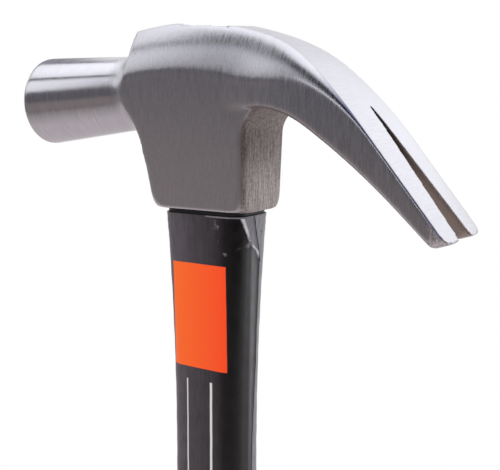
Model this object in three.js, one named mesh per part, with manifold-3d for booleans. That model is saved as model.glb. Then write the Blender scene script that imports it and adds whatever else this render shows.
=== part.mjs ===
// Claw hammer with a 29 mm face: a drop-forged steel head on a fibreglass-cored handle.
// Millimetres. +Z runs up the handle to the head, +X points to the claw and Y is across.
// The origin is the middle of the flat butt end. The head is drawn about its own origin,
// the middle of the eye at the bottom of the collar, and is then lifted onto the handle.

import * as THREE from 'three';
import { mergeVertices } from 'three/addons/utils/BufferGeometryUtils.js';
import Module from 'manifold-3d';

// The whole tool
const HANDLE_LENGTH = 275; // butt to the bottom of the collar
const HEAD_SETBACK = 0.3; // the head sits this far to the claw side of the handle
const FIT_GAP = 0.3; // clearance between pieces that seat on each other
const OVERRUN = 20; // how far every cutting or trimming body runs past what it trims

// Poll, the round striking end
const FACE_REACH = 69; // eye to striking face
const FACE_DIAMETER = 29;
const FACE_FLAT_DIAMETER = 19; // middle of the face that is truly flat
const FACE_CROWN = 0.4; // drop of the face from its flat to its rim
const FACE_RIM = 1.3; // rounded rim between face and poll
const NECK_REACH = 31.2; // eye to the narrowest place of the poll
const NECK_DIAMETER = 23.6;
const NECK_HEIGHT = 34.7; // poll axis above the collar bottom, at the neck
const POLL_DROOP = THREE.MathUtils.degToRad(3.9); // the poll axis falls towards the face

// Flare, where the neck opens out into the cheeks
const FLARE_TOP_RADIUS = 5.2;
const FLARE_TOP_ANGLE = THREE.MathUtils.degToRad(88);
const FLARE_BOTTOM_RADIUS = 11.7;
const FLARE_BOTTOM_ANGLE = THREE.MathUtils.degToRad(79);
const FLARE_RUN = 60; // slant length of the flare, longer than any cheek

// Cheeks and crown, the block around the eye
const HEAD_HEIGHT = 56.1; // crown above the collar bottom
const CROWN_LEAD = 7; // highest place of the crown, ahead of the eye
const CROWN_FRONT_RADIUS = 110; // side-view curve from the crown to the poll
const CROWN_WIDTH = 12.5; // ridge between the two shoulders
const CROWN_ARCH = 0.8; // rise of that ridge across its width
const SHOULDER_DEPTH = 13.7; // how far down the side the ground shoulder reaches
const SHOULDER_SLOPE = THREE.MathUtils.degToRad(45); // at the crown, below level
const SHOULDER_LEAN = THREE.MathUtils.degToRad(8); // at the cheek, off upright
const CHEEK_FRONT_REACH = 33; // eye to where the cheeks start, inside the flare

// Collar, the socket below the cheeks
const COLLAR_BOTTOM_WIDTH = 21.8;
const COLLAR_DRAFT = THREE.MathUtils.degToRad(2.5); // each side leans out upwards
const COLLAR_FRONT_REACH = 17.2;
const COLLAR_FRONT_ANGLE = THREE.MathUtils.degToRad(11.4); // lean of the collar's front
const COLLAR_THROAT_HEIGHT = 12; // above it the front curves out into the flare
const COLLAR_THROAT_REACH = 28; // how far it has curved out at the level of the underside
const COLLAR_BACK_REACH = 16.5;
const COLLAR_BACK_ANGLE = THREE.MathUtils.degToRad(1); // lean of the collar's back
const COLLAR_CORNER_RADIUS = 2; // upright corners
const COLLAR_FOOT_RADIUS = 6.4; // corners at the very bottom, nearly an oval
const COLLAR_FOOT_HEIGHT = 4.5; // height over which the corners sharpen
const COLLAR_EDGE = 0.3; // broken bottom edge
const COLLAR_TUCK = 0.03; // the collar's hidden top sits this far inside the cheeks
const COLLAR_HIDDEN_RISE = 3; // how far the collar runs up inside the cheeks

// Claw
const CLAW_REACH = 77.9; // eye to the claw tips
const CLAW_WIDTH = 28.7; // widest place
const CLAW_TIP_WIDTH = 28.1;
const CLAW_WIDEST_REACH = 36; // eye to where the claw is at its full width
const CLAW_WIDENING_REACH = 9; // eye to where the cheeks start to widen
const CROWN_BEND_RADIUS = 95.7; // the top bends down through three arcs in side view
const CROWN_BEND_TURN = THREE.MathUtils.degToRad(18.4);
const CLAW_BEND_RADIUS = 45.4;
const CLAW_BEND_TURN = THREE.MathUtils.degToRad(23.2);
const CLAW_SWEEP_RADIUS = 150;
const CLAW_SWEEP_TURN = THREE.MathUtils.degToRad(9.5);
const CLAW_EDGE_WIDTH = 0.9; // rounding of the claw's top edges, across
const CLAW_EDGE_DEPTH = 1.1; // and down
const CLAW_ARCH = 0.7; // rise of the claw's top across its width
const CROWN_SPREAD_LEAD = 11.6; // ahead of the eye, where the crown starts to spread to full width
const SHOULDER_FADE_REACH = 14; // eye to where the shoulder starts to get shallower
const HARD_EDGE_REACH = 62; // eye to where crown and shoulder have become the claw's top and edge
const CLAW_UNDER_EDGE = 0.8; // rounding of the lower edges
const UNDERSIDE_HEIGHT = 30.7; // level part of the underside, above the collar bottom
const UNDERSIDE_LEVEL_REACH = 20.3;
const UNDERSIDE_ROOT_RADIUS = 30.3;
const UNDERSIDE_ROOT_TURN = THREE.MathUtils.degToRad(33.1);
const UNDERSIDE_CURVE_RADIUS = 197;
const UNDERSIDE_CURVE_TURN = THREE.MathUtils.degToRad(10.1);
const ROOT_FILLET_RADIUS = 7.8; // hollow between the collar's back and the underside
const PRONG_CORNER_RADIUS = 5; // outer corner of each claw tip
const PRONG_INNER_RADIUS = 1.6; // corner of each tip at the slot
const TIP_LEAN = THREE.MathUtils.degToRad(20); // each tip is cut back below its top edge

// Nail slot
const SLOT_LENGTH = 43.5;
const SLOT_MOUTH = 9.3; // width between the tips
const SLOT_ROOT_WIDTH = 0.7;
const SLOT_LAND = 1; // straight part of the slot wall, below the top of the claw
const SLOT_BEVEL = THREE.MathUtils.degToRad(12); // the walls below it open downwards

// Eye through the head
const EYE_BOTTOM_LENGTH = 22.8;
const EYE_BOTTOM_WIDTH = 12.8;
const EYE_TOP_LENGTH = 25;
const EYE_TOP_WIDTH = 13.2;
const EYE_CORNER_RADIUS = 6;
const RESIN_RECESS = 3.6; // resin surface below the crown, just under the rim

// Fibreglass core
const CORE_LENGTH = 19.2;
const CORE_WIDTH = 10.4;
const CORE_CORNER_RADIUS = 5;
const CORE_START = 32; // lower end above the butt

// Handle jacket, moulded round the core
const JACKET_LENGTH = 22.6; // shank, front to back
const JACKET_WIDTH = 16.4;
const JACKET_TOP_LENGTH = 28;
const JACKET_TOP_WIDTH = 18;
const JACKET_CORNER_RADIUS = 4.8;
const JACKET_FLARE_HEIGHT = 75; // the top opens out over this height
const JACKET_START = 22; // lower end above the butt

// Printed film sleeve, shrunk onto the jacket
const FILM_THICKNESS = 0.35;
const FILM_TOP_CLEARANCE = 1.4; // below the collar
const FILM_GRIP_CLEARANCE = 5.6; // bare jacket between the grip and the film

// Rubber grip
const GRIP_LENGTH = 160;
const GRIP_TOP_LENGTH = 27.4;
const GRIP_TOP_WIDTH = 21.4;
const GRIP_PALM_LENGTH = 32.4;
const GRIP_PALM_WIDTH = 25;
const GRIP_WAIST_LENGTH = 30;
const GRIP_WAIST_WIDTH = 23.6;
const GRIP_BUTT_LENGTH = 37;
const GRIP_BUTT_WIDTH = 27.4;
const GRIP_CORNER_RADIUS = 9.4;
const GRIP_LIP = 1.6; // rounding at the top edge
const GRIP_BUTT_EDGE = 4; // rounding at the butt
const GROOVE_PITCH = 7;
const GROOVE_WIDTH = 2.6;
const GROOVE_DEPTH = 0.9;
const GROOVE_START = 42; // lowest groove above the butt
const GROOVE_COUNT = 14;

// Counts
const POLL_SIDES = 64;
const FLARE_STEPS = 6;
const CORNER_STEPS = 5;
const CHEEK_STEPS = 10;
const CLAW_STEPS = 30;
const ARCH_STEPS = 3;
const SHOULDER_STEPS = 8;
const SIDE_STEPS = 3;
const EDGE_STEPS = 2;
const THROAT_STEPS = 4;
const FILLET_STEPS = 5;
const JACKET_STEPS = 7;
const FILM_STEPS = 9;
const CURVE_DIVISIONS = 400;

// Shares of the grip's length, from the butt, where its widths are given
const PALM_SHARE = 0.52;
const WAIST_SHARE = 0.2;
const BUTT_SHARE = 0.055;

// Worked out from the above
const RESIN_TOP = HANDLE_LENGTH + HEAD_HEIGHT - RESIN_RECESS;
const CLAW_SLOPE = CROWN_BEND_TURN + CLAW_BEND_TURN + CLAW_SWEEP_TURN;
const QUARTER = Math.PI / 2;
const FULL_TURN = 2 * Math.PI;

const { lerp, smoothstep } = THREE.MathUtils;

const wasm = await Module();
wasm.setup();

// Skins a row of rings that have equally many points. A looped row closes on its first ring,
// as a tube does; any other row is closed by a fan at each end.
function loft(rings, looped = false) {
  const count = rings[0].length;
  const points = rings.flat();
  const faces = [];
  const bands = looped ? rings.length : rings.length - 1;
  for (let band = 0; band < bands; band += 1) {
    const near = band * count;
    const far = ((band + 1) % rings.length) * count;
    for (let i = 0; i < count; i += 1) {
      const next = (i + 1) % count;
      faces.push(near + i, near + next, far + next);
      faces.push(near + i, far + next, far + i);
    }
  }
  if (!looped) {
    const last = (rings.length - 1) * count;
    for (const [start, flip] of [[0, true], [last, false]]) {
      const ring = points.slice(start, start + count);
      const middle = ring.reduce((sum, point) => sum.add(point), new THREE.Vector3());
      const hub = points.push(middle.divideScalar(count)) - 1;
      for (let i = 0; i < count; i += 1) {
        const pair = [start + i, start + ((i + 1) % count)];
        if (flip) pair.reverse();
        faces.push(pair[0], pair[1], hub);
      }
    }
  }
  return outwardGeometry(points, faces);
}

// Turns every face over if the skin encloses a negative volume.
function outwardGeometry(points, faces) {
  let volume = 0;
  for (let i = 0; i < faces.length; i += 3) {
    const [a, b, c] = [points[faces[i]], points[faces[i + 1]], points[faces[i + 2]]];
    volume += a.dot(new THREE.Vector3().crossVectors(b, c));
  }
  if (volume < 0) faces.reverse();
  const geometry = new THREE.BufferGeometry().setFromPoints(points);
  geometry.setIndex(faces);
  return geometry;
}

function solidOf(geometry) {
  const bare = geometry.clone();
  bare.deleteAttribute('normal');
  bare.deleteAttribute('uv');
  const merged = mergeVertices(bare);
  return new wasm.Manifold(new wasm.Mesh({
    numProp: 3,
    vertProperties: Float32Array.from(merged.attributes.position.array),
    triVerts: Uint32Array.from(merged.index.array),
  }));
}

function geometryOf(solid) {
  const { vertProperties, triVerts } = solid.getMesh();
  const geometry = new THREE.BufferGeometry();
  geometry.setAttribute('position', new THREE.BufferAttribute(vertProperties, 3));
  geometry.setIndex(new THREE.BufferAttribute(triVerts, 1));
  return geometry;
}

function piece(name, geometry, color, roughness, metalness) {
  geometry.computeVertexNormals();
  const mesh = new THREE.Mesh(geometry, new THREE.MeshStandardMaterial({ color, roughness, metalness }));
  mesh.name = name;
  return mesh;
}

// A level rounded rectangle about (middle, 0), longer along X than across.
function roundedRing({ length, width, radius, middle = 0, height }) {
  const ring = [];
  const corner = Math.min(radius, length / 2, width / 2);
  for (let quarter = 0; quarter < 4; quarter += 1) {
    const along = quarter === 0 || quarter === 3 ? 1 : -1;
    const across = quarter < 2 ? 1 : -1;
    for (let step = 0; step <= CORNER_STEPS; step += 1) {
      const angle = QUARTER * (quarter + step / CORNER_STEPS);
      ring.push(new THREE.Vector3(
        middle + along * (length / 2 - corner) + corner * Math.cos(angle),
        across * (width / 2 - corner) + corner * Math.sin(angle),
        height,
      ));
    }
  }
  return ring;
}

// Height of the poll's axis at a distance along the head. The sections of the poll stay upright
// while the axis droops, so the striking face is square to the line of the blow.
function pollAxisHeight(x) {
  return NECK_HEIGHT + (x + NECK_REACH) * Math.tan(POLL_DROOP);
}

// Everything behind the striking face, the tapered poll and the flare: the front of the head.
function frontEnvelope() {
  const ringOf = (placeAt) => Array.from({ length: POLL_SIDES }, (_, i) => {
    const angle = FULL_TURN * i / POLL_SIDES;
    const { x, radius } = placeAt((1 + Math.sin(angle)) / 2);
    return new THREE.Vector3(
      x,
      radius * Math.cos(angle),
      pollAxisHeight(x) + radius * Math.sin(angle),
    );
  });
  const faceRadius = FACE_DIAMETER / 2;
  const rimRadius = faceRadius - FACE_RIM;
  const rings = [
    ringOf(() => ({ x: -FACE_REACH, radius: FACE_FLAT_DIAMETER / 2 })),
    ringOf(() => ({ x: -FACE_REACH + FACE_CROWN, radius: rimRadius })),
  ];
  for (let step = 1; step <= EDGE_STEPS; step += 1) {
    const turn = QUARTER * step / EDGE_STEPS;
    rings.push(ringOf(() => ({
      x: -FACE_REACH + FACE_CROWN + FACE_RIM * (1 - Math.cos(turn)),
      radius: rimRadius + FACE_RIM * Math.sin(turn),
    })));
  }
  const neckRadius = NECK_DIAMETER / 2;
  const flareAt = (turnShare, run) => (up) => {
    const bend = lerp(FLARE_BOTTOM_RADIUS, FLARE_TOP_RADIUS, up);
    const turn = turnShare * lerp(FLARE_BOTTOM_ANGLE, FLARE_TOP_ANGLE, up);
    return {
      x: -NECK_REACH + bend * Math.sin(turn) + run * Math.cos(turn),
      radius: neckRadius + bend * (1 - Math.cos(turn)) + run * Math.sin(turn),
    };
  };
  for (let step = 0; step <= FLARE_STEPS; step += 1) rings.push(ringOf(flareAt(step / FLARE_STEPS, 0)));
  rings.push(ringOf(flareAt(1, FLARE_RUN)));
  rings.push(ringOf(() => ({ x: CLAW_REACH + OVERRUN, radius: neckRadius + 2 * FLARE_RUN })));
  return solidOf(loft(rings));
}

// Carries a side-view line that runs level through bends, each a radius and a turn downwards,
// and then straight to the reach of the tips.
function bendDown(line, bends) {
  let heading = 0;
  for (const [radius, turn] of bends) {
    const start = line.currentPoint;
    const middle = [start.x - radius * Math.sin(heading), start.y - radius * Math.cos(heading)];
    line.absarc(...middle, radius, QUARTER - heading, QUARTER - heading - turn, true);
    heading += turn;
  }
  const start = line.currentPoint.clone();
  line.lineTo(CLAW_REACH, start.y - (CLAW_REACH - start.x) * Math.tan(heading));
  return line;
}

// Side view of the top of the head: up over the crown, down the claw and straight to the tips.
function topLine() {
  const line = new THREE.Path();
  const frontTurn = Math.asin((CHEEK_FRONT_REACH - CROWN_LEAD) / CROWN_FRONT_RADIUS);
  const middle = HEAD_HEIGHT - CROWN_FRONT_RADIUS;
  line.absarc(-CROWN_LEAD, middle, CROWN_FRONT_RADIUS, QUARTER + frontTurn, QUARTER, true);
  return bendDown(line, [
    [CROWN_BEND_RADIUS, CROWN_BEND_TURN],
    [CLAW_BEND_RADIUS, CLAW_BEND_TURN],
    [CLAW_SWEEP_RADIUS, CLAW_SWEEP_TURN],
  ]);
}

// Side view of the underside of the claw, from below the cheeks to the tips.
function underLine() {
  const line = new THREE.Path();
  line.moveTo(-CHEEK_FRONT_REACH, UNDERSIDE_HEIGHT);
  line.lineTo(UNDERSIDE_LEVEL_REACH, UNDERSIDE_HEIGHT);
  return bendDown(line, [
    [UNDERSIDE_ROOT_RADIUS, UNDERSIDE_ROOT_TURN],
    [UNDERSIDE_CURVE_RADIUS, UNDERSIDE_CURVE_TURN],
  ]);
}

// Points of a side-view line from one reach to another, evenly spaced along it.
function pointsBetween(line, from, to, steps) {
  const points = line.getSpacedPoints(CURVE_DIVISIONS);
  const shareAt = (reach) => {
    const after = points.findIndex((point) => point.x >= reach);
    if (after <= 0) return after < 0 ? 1 : 0;
    const [a, b] = [points[after - 1], points[after]];
    return (after - 1 + (reach - a.x) / (b.x - a.x)) / CURVE_DIVISIONS;
  };
  const [start, end] = [shareAt(from), shareAt(to)];
  return Array.from({ length: steps + 1 }, (_, i) => line.getPointAt(lerp(start, end, i / steps)));
}

// Half the width of the cheeks and collar at a height: the sides lean out upwards.
function sideHalfWidth(height) {
  return COLLAR_BOTTOM_WIDTH / 2 + height * Math.tan(COLLAR_DRAFT);
}

// Half the width of the head above the underside: cheeks that widen into the claw.
function bodyHalfWidth(x, height) {
  const widening = smoothstep(x, CLAW_WIDENING_REACH, CLAW_WIDEST_REACH);
  const narrowing = smoothstep(x, CLAW_WIDEST_REACH, CLAW_REACH);
  const claw = lerp(CLAW_WIDTH, CLAW_TIP_WIDTH, narrowing) / 2;
  return lerp(sideHalfWidth(height), claw, widening);
}

// One cross-section of cheeks or claw, between a point of the top line and one of the underside.
function bodySection(top, under) {
  const up = top.clone().sub(under).normalize();
  const { x } = top;
  const spread = smoothstep(x, -CROWN_SPREAD_LEAD, HARD_EDGE_REACH) ** 2;
  const fade = smoothstep(x, SHOULDER_FADE_REACH, HARD_EDGE_REACH);
  const shoulderDepth = lerp(SHOULDER_DEPTH, CLAW_EDGE_DEPTH, fade);
  const half = bodyHalfWidth(x, top.y - shoulderDepth);
  const ridge = lerp(CROWN_WIDTH / 2, half - CLAW_EDGE_WIDTH, spread);
  const rise = lerp(CROWN_ARCH, CLAW_ARCH, spread);
  const underEdge = CLAW_UNDER_EDGE * smoothstep(x, CLAW_WIDENING_REACH, CLAW_WIDEST_REACH);

  // Half outline as [across, down from the top point]
  const outline = [];
  for (let step = 0; step <= ARCH_STEPS; step += 1) {
    const share = step / ARCH_STEPS;
    outline.push([ridge * share, rise * share ** 2]);
  }
  // The shoulder curves from its slope at the ridge to its lean at the side; both tangents meet
  // this far out from the ridge
  const slope = Math.tan(SHOULDER_SLOPE);
  const lean = Math.tan(SHOULDER_LEAN * (1 - fade));
  const out = (half - ridge - shoulderDepth * lean) / (1 - slope * lean);
  const shoulder = new THREE.QuadraticBezierCurve(
    new THREE.Vector2(ridge, rise),
    new THREE.Vector2(ridge + out, rise + out * slope),
    new THREE.Vector2(half, rise + shoulderDepth),
  );
  for (let step = 1; step <= SHOULDER_STEPS; step += 1) {
    outline.push(shoulder.getPoint(step / SHOULDER_STEPS).toArray());
  }
  const depth = top.distanceTo(under);
  const sideEnd = depth - underEdge;
  for (let step = 1; step <= SIDE_STEPS; step += 1) {
    const down = lerp(rise + shoulderDepth, sideEnd, step / SIDE_STEPS);
    const place = top.clone().addScaledVector(up, -down);
    outline.push([bodyHalfWidth(place.x, place.y), down]);
  }
  const lower = outline.at(-1)[0];
  outline.push([lower - underEdge * (1 - Math.SQRT1_2), depth - underEdge * (1 - Math.SQRT1_2)]);
  outline.push([lower - underEdge - COLLAR_TUCK, depth]);

  const place = ([across, down], side) => new THREE.Vector3(
    top.x - up.x * down,
    side * across,
    top.y - up.y * down,
  );
  const right = outline.map((point) => place(point, 1));
  const left = outline.slice(1).map((point) => place(point, -1));
  return [...right, ...left.reverse()];
}

function cheeksAndClaw() {
  const tops = topLine();
  const unders = underLine();
  const sections = [];
  const cheekTops = pointsBetween(tops, -CHEEK_FRONT_REACH, CLAW_WIDENING_REACH, CHEEK_STEPS);
  for (const top of cheekTops) {
    sections.push(bodySection(top, new THREE.Vector2(top.x, UNDERSIDE_HEIGHT)));
  }
  const clawTops = pointsBetween(tops, CLAW_WIDENING_REACH, CLAW_REACH, CLAW_STEPS);
  const clawUnders = pointsBetween(unders, CLAW_WIDENING_REACH, CLAW_REACH, CLAW_STEPS);
  for (let step = 1; step <= CLAW_STEPS; step += 1) {
    sections.push(bodySection(clawTops[step], clawUnders[step]));
  }
  return solidOf(loft(sections));
}

// The collar: a leaning block whose corners round off to an oval foot, with a hollow at its back
// that sweeps up into the underside of the claw.
function collar() {
  const hollowStart = UNDERSIDE_HEIGHT - ROOT_FILLET_RADIUS;
  const ringAt = (height, hollow = 0, inset = 0) => {
    const rise = (height - COLLAR_THROAT_HEIGHT) / (UNDERSIDE_HEIGHT - COLLAR_THROAT_HEIGHT);
    const sweep = COLLAR_THROAT_REACH * Math.max(0, rise) ** 2;
    const front = COLLAR_FRONT_REACH + height * Math.tan(COLLAR_FRONT_ANGLE) + sweep - inset;
    const back = COLLAR_BACK_REACH + height * Math.tan(COLLAR_BACK_ANGLE) + hollow - inset;
    const foot = Math.max(0, 1 - height / COLLAR_FOOT_HEIGHT);
    const bulge = 1 - Math.sqrt(1 - foot ** 2);
    return roundedRing({
      length: front + back,
      width: 2 * (sideHalfWidth(height) - inset),
      radius: lerp(COLLAR_CORNER_RADIUS, COLLAR_FOOT_RADIUS, bulge),
      middle: (back - front) / 2,
      height,
    });
  };
  const rings = [ringAt(0, 0, COLLAR_EDGE)];
  for (let step = 0; step <= FILLET_STEPS; step += 1) {
    const share = (step / FILLET_STEPS) ** 2;
    rings.push(ringAt(lerp(COLLAR_EDGE, COLLAR_FOOT_HEIGHT, share)));
  }
  for (let step = 0; step < THROAT_STEPS; step += 1) {
    rings.push(ringAt(lerp(COLLAR_THROAT_HEIGHT, hollowStart, step / THROAT_STEPS)));
  }
  for (let step = 0; step <= FILLET_STEPS; step += 1) {
    const turn = QUARTER * step / FILLET_STEPS;
    const hollow = ROOT_FILLET_RADIUS * (1 - Math.cos(turn));
    const tuck = step === FILLET_STEPS ? COLLAR_TUCK : 0;
    rings.push(ringAt(hollowStart + ROOT_FILLET_RADIUS * Math.sin(turn), hollow, tuck));
  }
  rings.push(ringAt(UNDERSIDE_HEIGHT + COLLAR_HIDDEN_RISE, ROOT_FILLET_RADIUS, 2 * COLLAR_TUCK));
  return solidOf(loft(rings));
}

// Places on the straight end of the claw's top: along it from the tips, across, and off it.
function clawFrame() {
  const tip = topLine().getPointAt(1);
  const frame = new THREE.Matrix4().makeRotationY(CLAW_SLOPE);
  return frame.setPosition(tip.x, 0, tip.y);
}

// Keeps the two rounded tips and everything behind them.
function tipTrimmer() {
  const half = CLAW_TIP_WIDTH / 2 + COLLAR_TUCK;
  const outer = half - PRONG_CORNER_RADIUS;
  const inner = SLOT_MOUTH / 2 + PRONG_INNER_RADIUS;
  const behind = FACE_REACH + CLAW_REACH + OVERRUN;
  const outline = new THREE.Shape();
  outline.moveTo(-behind, -behind);
  outline.lineTo(-PRONG_CORNER_RADIUS, -behind);
  outline.lineTo(-PRONG_CORNER_RADIUS, -half);
  outline.absarc(-PRONG_CORNER_RADIUS, -outer, PRONG_CORNER_RADIUS, -QUARTER, 0, false);
  outline.absarc(-PRONG_INNER_RADIUS, -inner, PRONG_INNER_RADIUS, 0, QUARTER, false);
  outline.lineTo(-PRONG_INNER_RADIUS, inner - PRONG_INNER_RADIUS);
  outline.absarc(-PRONG_INNER_RADIUS, inner, PRONG_INNER_RADIUS, -QUARTER, 0, false);
  outline.absarc(-PRONG_CORNER_RADIUS, outer, PRONG_CORNER_RADIUS, 0, QUARTER, false);
  outline.lineTo(-PRONG_CORNER_RADIUS, behind);
  outline.lineTo(-behind, behind);
  const prism = new THREE.ExtrudeGeometry(outline, {
    depth: 2 * behind,
    bevelEnabled: false,
    curveSegments: CORNER_STEPS,
  });
  prism.translate(0, 0, -behind);
  const lean = new THREE.Matrix4();
  lean.elements[8] = Math.tan(TIP_LEAN);
  return solidOf(prism.applyMatrix4(lean).applyMatrix4(clawFrame()));
}

// The nail slot: a V whose walls stand straight for a land and then open towards the underside.
function slotCutter() {
  const past = OVERRUN / SLOT_LENGTH;
  const ringAt = (depth) => {
    const spread = Math.max(0, depth - SLOT_LAND) * Math.tan(SLOT_BEVEL);
    const root = SLOT_ROOT_WIDTH / 2 + spread;
    const slope = (SLOT_MOUTH - SLOT_ROOT_WIDTH) / 2;
    const mouth = root + slope * (1 + past);
    return [
      new THREE.Vector3(-SLOT_LENGTH, -root, -depth),
      new THREE.Vector3(OVERRUN, -mouth, -depth),
      new THREE.Vector3(OVERRUN, mouth, -depth),
      new THREE.Vector3(-SLOT_LENGTH, root, -depth),
      new THREE.Vector3(-SLOT_LENGTH - root, 0, -depth),
    ];
  };
  const depths = [-OVERRUN, SLOT_LAND, OVERRUN];
  return solidOf(loft(depths.map(ringAt)).applyMatrix4(clawFrame()));
}

// The eye's outline at a height, drawn in or out by a clearance.
function eyeRing(height, clearance = 0) {
  const share = height / HEAD_HEIGHT;
  return roundedRing({
    length: lerp(EYE_BOTTOM_LENGTH, EYE_TOP_LENGTH, share) - 2 * clearance,
    width: lerp(EYE_BOTTOM_WIDTH, EYE_TOP_WIDTH, share) - 2 * clearance,
    radius: EYE_CORNER_RADIUS - clearance,
    height,
  });
}

function hammerHead() {
  const pollRadius = FACE_DIAMETER;
  const pollLength = FACE_REACH + OVERRUN - NECK_REACH;
  const poll = new THREE.CylinderGeometry(pollRadius, pollRadius, pollLength, POLL_SIDES);
  poll.rotateZ(QUARTER);
  poll.translate(FACE_RIM - NECK_REACH - pollLength / 2, 0, NECK_HEIGHT);
  const eye = loft([eyeRing(-OVERRUN), eyeRing(HEAD_HEIGHT + OVERRUN)]);
  return cheeksAndClaw()
    .add(collar())
    .add(solidOf(poll))
    .intersect(frontEnvelope())
    .intersect(tipTrimmer())
    .subtract(slotCutter())
    .subtract(solidOf(eye));
}

function coreRing(height, clearance = 0, middle = 0) {
  return roundedRing({
    length: CORE_LENGTH + 2 * clearance,
    width: CORE_WIDTH + 2 * clearance,
    radius: CORE_CORNER_RADIUS + clearance,
    middle,
    height,
  });
}

function fibreglassCore() {
  return loft([coreRing(CORE_START), coreRing(RESIN_TOP)]);
}

// Resin cast between the core and the wall of the eye.
function resinFill() {
  const start = FIT_GAP;
  const end = HEAD_HEIGHT - RESIN_RECESS;
  return loft([
    eyeRing(start, FIT_GAP),
    eyeRing(end, FIT_GAP),
    coreRing(end, FIT_GAP, -HEAD_SETBACK),
    coreRing(start, FIT_GAP, -HEAD_SETBACK),
  ], true);
}

// Outline of the jacket at a height above the butt, grown by a clearance. Its top opens out along
// a shallow curve to nearly the size of the collar.
function jacketRing(height, clearance = 0) {
  const below = (HANDLE_LENGTH - height) / JACKET_FLARE_HEIGHT;
  const opening = Math.max(0, 1 - below) ** 2;
  return roundedRing({
    length: lerp(JACKET_LENGTH, JACKET_TOP_LENGTH, opening) + 2 * clearance,
    width: lerp(JACKET_WIDTH, JACKET_TOP_WIDTH, opening) + 2 * clearance,
    radius: JACKET_CORNER_RADIUS + clearance,
    height,
  });
}

function spacedHeights(from, to, steps) {
  return Array.from({ length: steps + 1 }, (_, i) => lerp(from, to, i / steps));
}

function handleJacket() {
  const top = HANDLE_LENGTH - FIT_GAP;
  const flareStart = HANDLE_LENGTH - JACKET_FLARE_HEIGHT;
  const heights = [JACKET_START, ...spacedHeights(flareStart, top, JACKET_STEPS)];
  return loft([
    ...heights.map((height) => jacketRing(height)),
    coreRing(top, FIT_GAP),
    coreRing(CORE_START - FIT_GAP, FIT_GAP),
  ]);
}

// The film is drawn thicker than real film, which is a twentieth of a millimetre.
function labelSleeve() {
  const top = HANDLE_LENGTH - FILM_TOP_CLEARANCE;
  const heights = spacedHeights(GRIP_LENGTH + FILM_GRIP_CLEARANCE, top, FILM_STEPS);
  const outside = heights.map((height) => jacketRing(height, FIT_GAP + FILM_THICKNESS));
  const inside = heights.map((height) => jacketRing(height, FIT_GAP));
  return loft([...outside, ...inside.reverse()], true);
}

// Length and width of the grip at a height above the butt: a shallow palm swell between the lip
// and a waist, and a flared butt that stops the hand.
function gripSize(height) {
  const places = [
    [0, GRIP_BUTT_LENGTH, GRIP_BUTT_WIDTH],
    [BUTT_SHARE * GRIP_LENGTH, GRIP_BUTT_LENGTH, GRIP_BUTT_WIDTH],
    [WAIST_SHARE * GRIP_LENGTH, GRIP_WAIST_LENGTH, GRIP_WAIST_WIDTH],
    [PALM_SHARE * GRIP_LENGTH, GRIP_PALM_LENGTH, GRIP_PALM_WIDTH],
    [GRIP_LENGTH, GRIP_TOP_LENGTH, GRIP_TOP_WIDTH],
  ];
  const after = Math.max(1, places.findIndex(([place]) => place >= height));
  const [[from, ...low], [to, ...high]] = [places[after - 1], places[after]];
  const blend = smoothstep(height, from, to);
  return { length: lerp(low[0], high[0], blend), width: lerp(low[1], high[1], blend) };
}

function gripRing(height, inset = 0) {
  const { length, width } = gripSize(height);
  return roundedRing({
    length: length - 2 * inset,
    width: width - 2 * inset,
    radius: GRIP_CORNER_RADIUS - inset,
    height,
  });
}

function rubberGrip() {
  const rings = [];
  for (let step = 0; step <= EDGE_STEPS; step += 1) {
    const turn = QUARTER * step / EDGE_STEPS;
    const inset = GRIP_BUTT_EDGE * (1 - Math.sin(turn));
    rings.push(gripRing(GRIP_BUTT_EDGE * (1 - Math.cos(turn)), inset));
  }
  const swell = [BUTT_SHARE, (BUTT_SHARE + WAIST_SHARE) / 2, WAIST_SHARE];
  for (const share of swell) rings.push(gripRing(share * GRIP_LENGTH));
  for (let groove = 0; groove < GROOVE_COUNT; groove += 1) {
    const middle = GROOVE_START + groove * GROOVE_PITCH;
    rings.push(gripRing(middle - GROOVE_WIDTH / 2));
    rings.push(gripRing(middle, GROOVE_DEPTH));
    rings.push(gripRing(middle + GROOVE_WIDTH / 2));
  }
  for (let step = 0; step <= EDGE_STEPS; step += 1) {
    const turn = QUARTER * step / EDGE_STEPS;
    const height = GRIP_LENGTH - GRIP_LIP * (1 - Math.sin(turn));
    rings.push(gripRing(height, GRIP_LIP * (1 - Math.cos(turn))));
  }
  rings.push(jacketRing(GRIP_LENGTH, FIT_GAP));
  rings.push(jacketRing(JACKET_START - FIT_GAP, FIT_GAP));
  return loft(rings);
}

const hammer = new THREE.Group();

const headGroup = new THREE.Group();
headGroup.position.set(HEAD_SETBACK, 0, HANDLE_LENGTH);
headGroup.add(piece('hammer_head', geometryOf(hammerHead()), 0x8d8b8d, 0.35, 1));
headGroup.add(piece('resin_fill', resinFill(), 0x2b2a2c, 0.45, 0));

hammer.add(headGroup);
hammer.add(piece('fibreglass_core', fibreglassCore(), 0xd9c58c, 0.5, 0));
hammer.add(piece('handle_jacket', handleJacket(), 0x1b1a1c, 0.45, 0));
hammer.add(piece('label_sleeve', labelSleeve(), 0x232026, 0.25, 0));
hammer.add(piece('rubber_grip', rubberGrip(), 0x161617, 0.8, 0));

export default hammer;
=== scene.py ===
# %% [markdown]
# A claw hammer on a photographer's table. The construction comes from the CAD frame: its nodes are
# the solids that the checks weigh and drop. Here every surface that the eye meets gets the shape
# and the finish of the real thing: ground steel, shrunk film, moulded rubber.

# %% The frame
import math

import bmesh
import bpy
import numpy as np
from mathutils import Matrix, Vector


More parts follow.
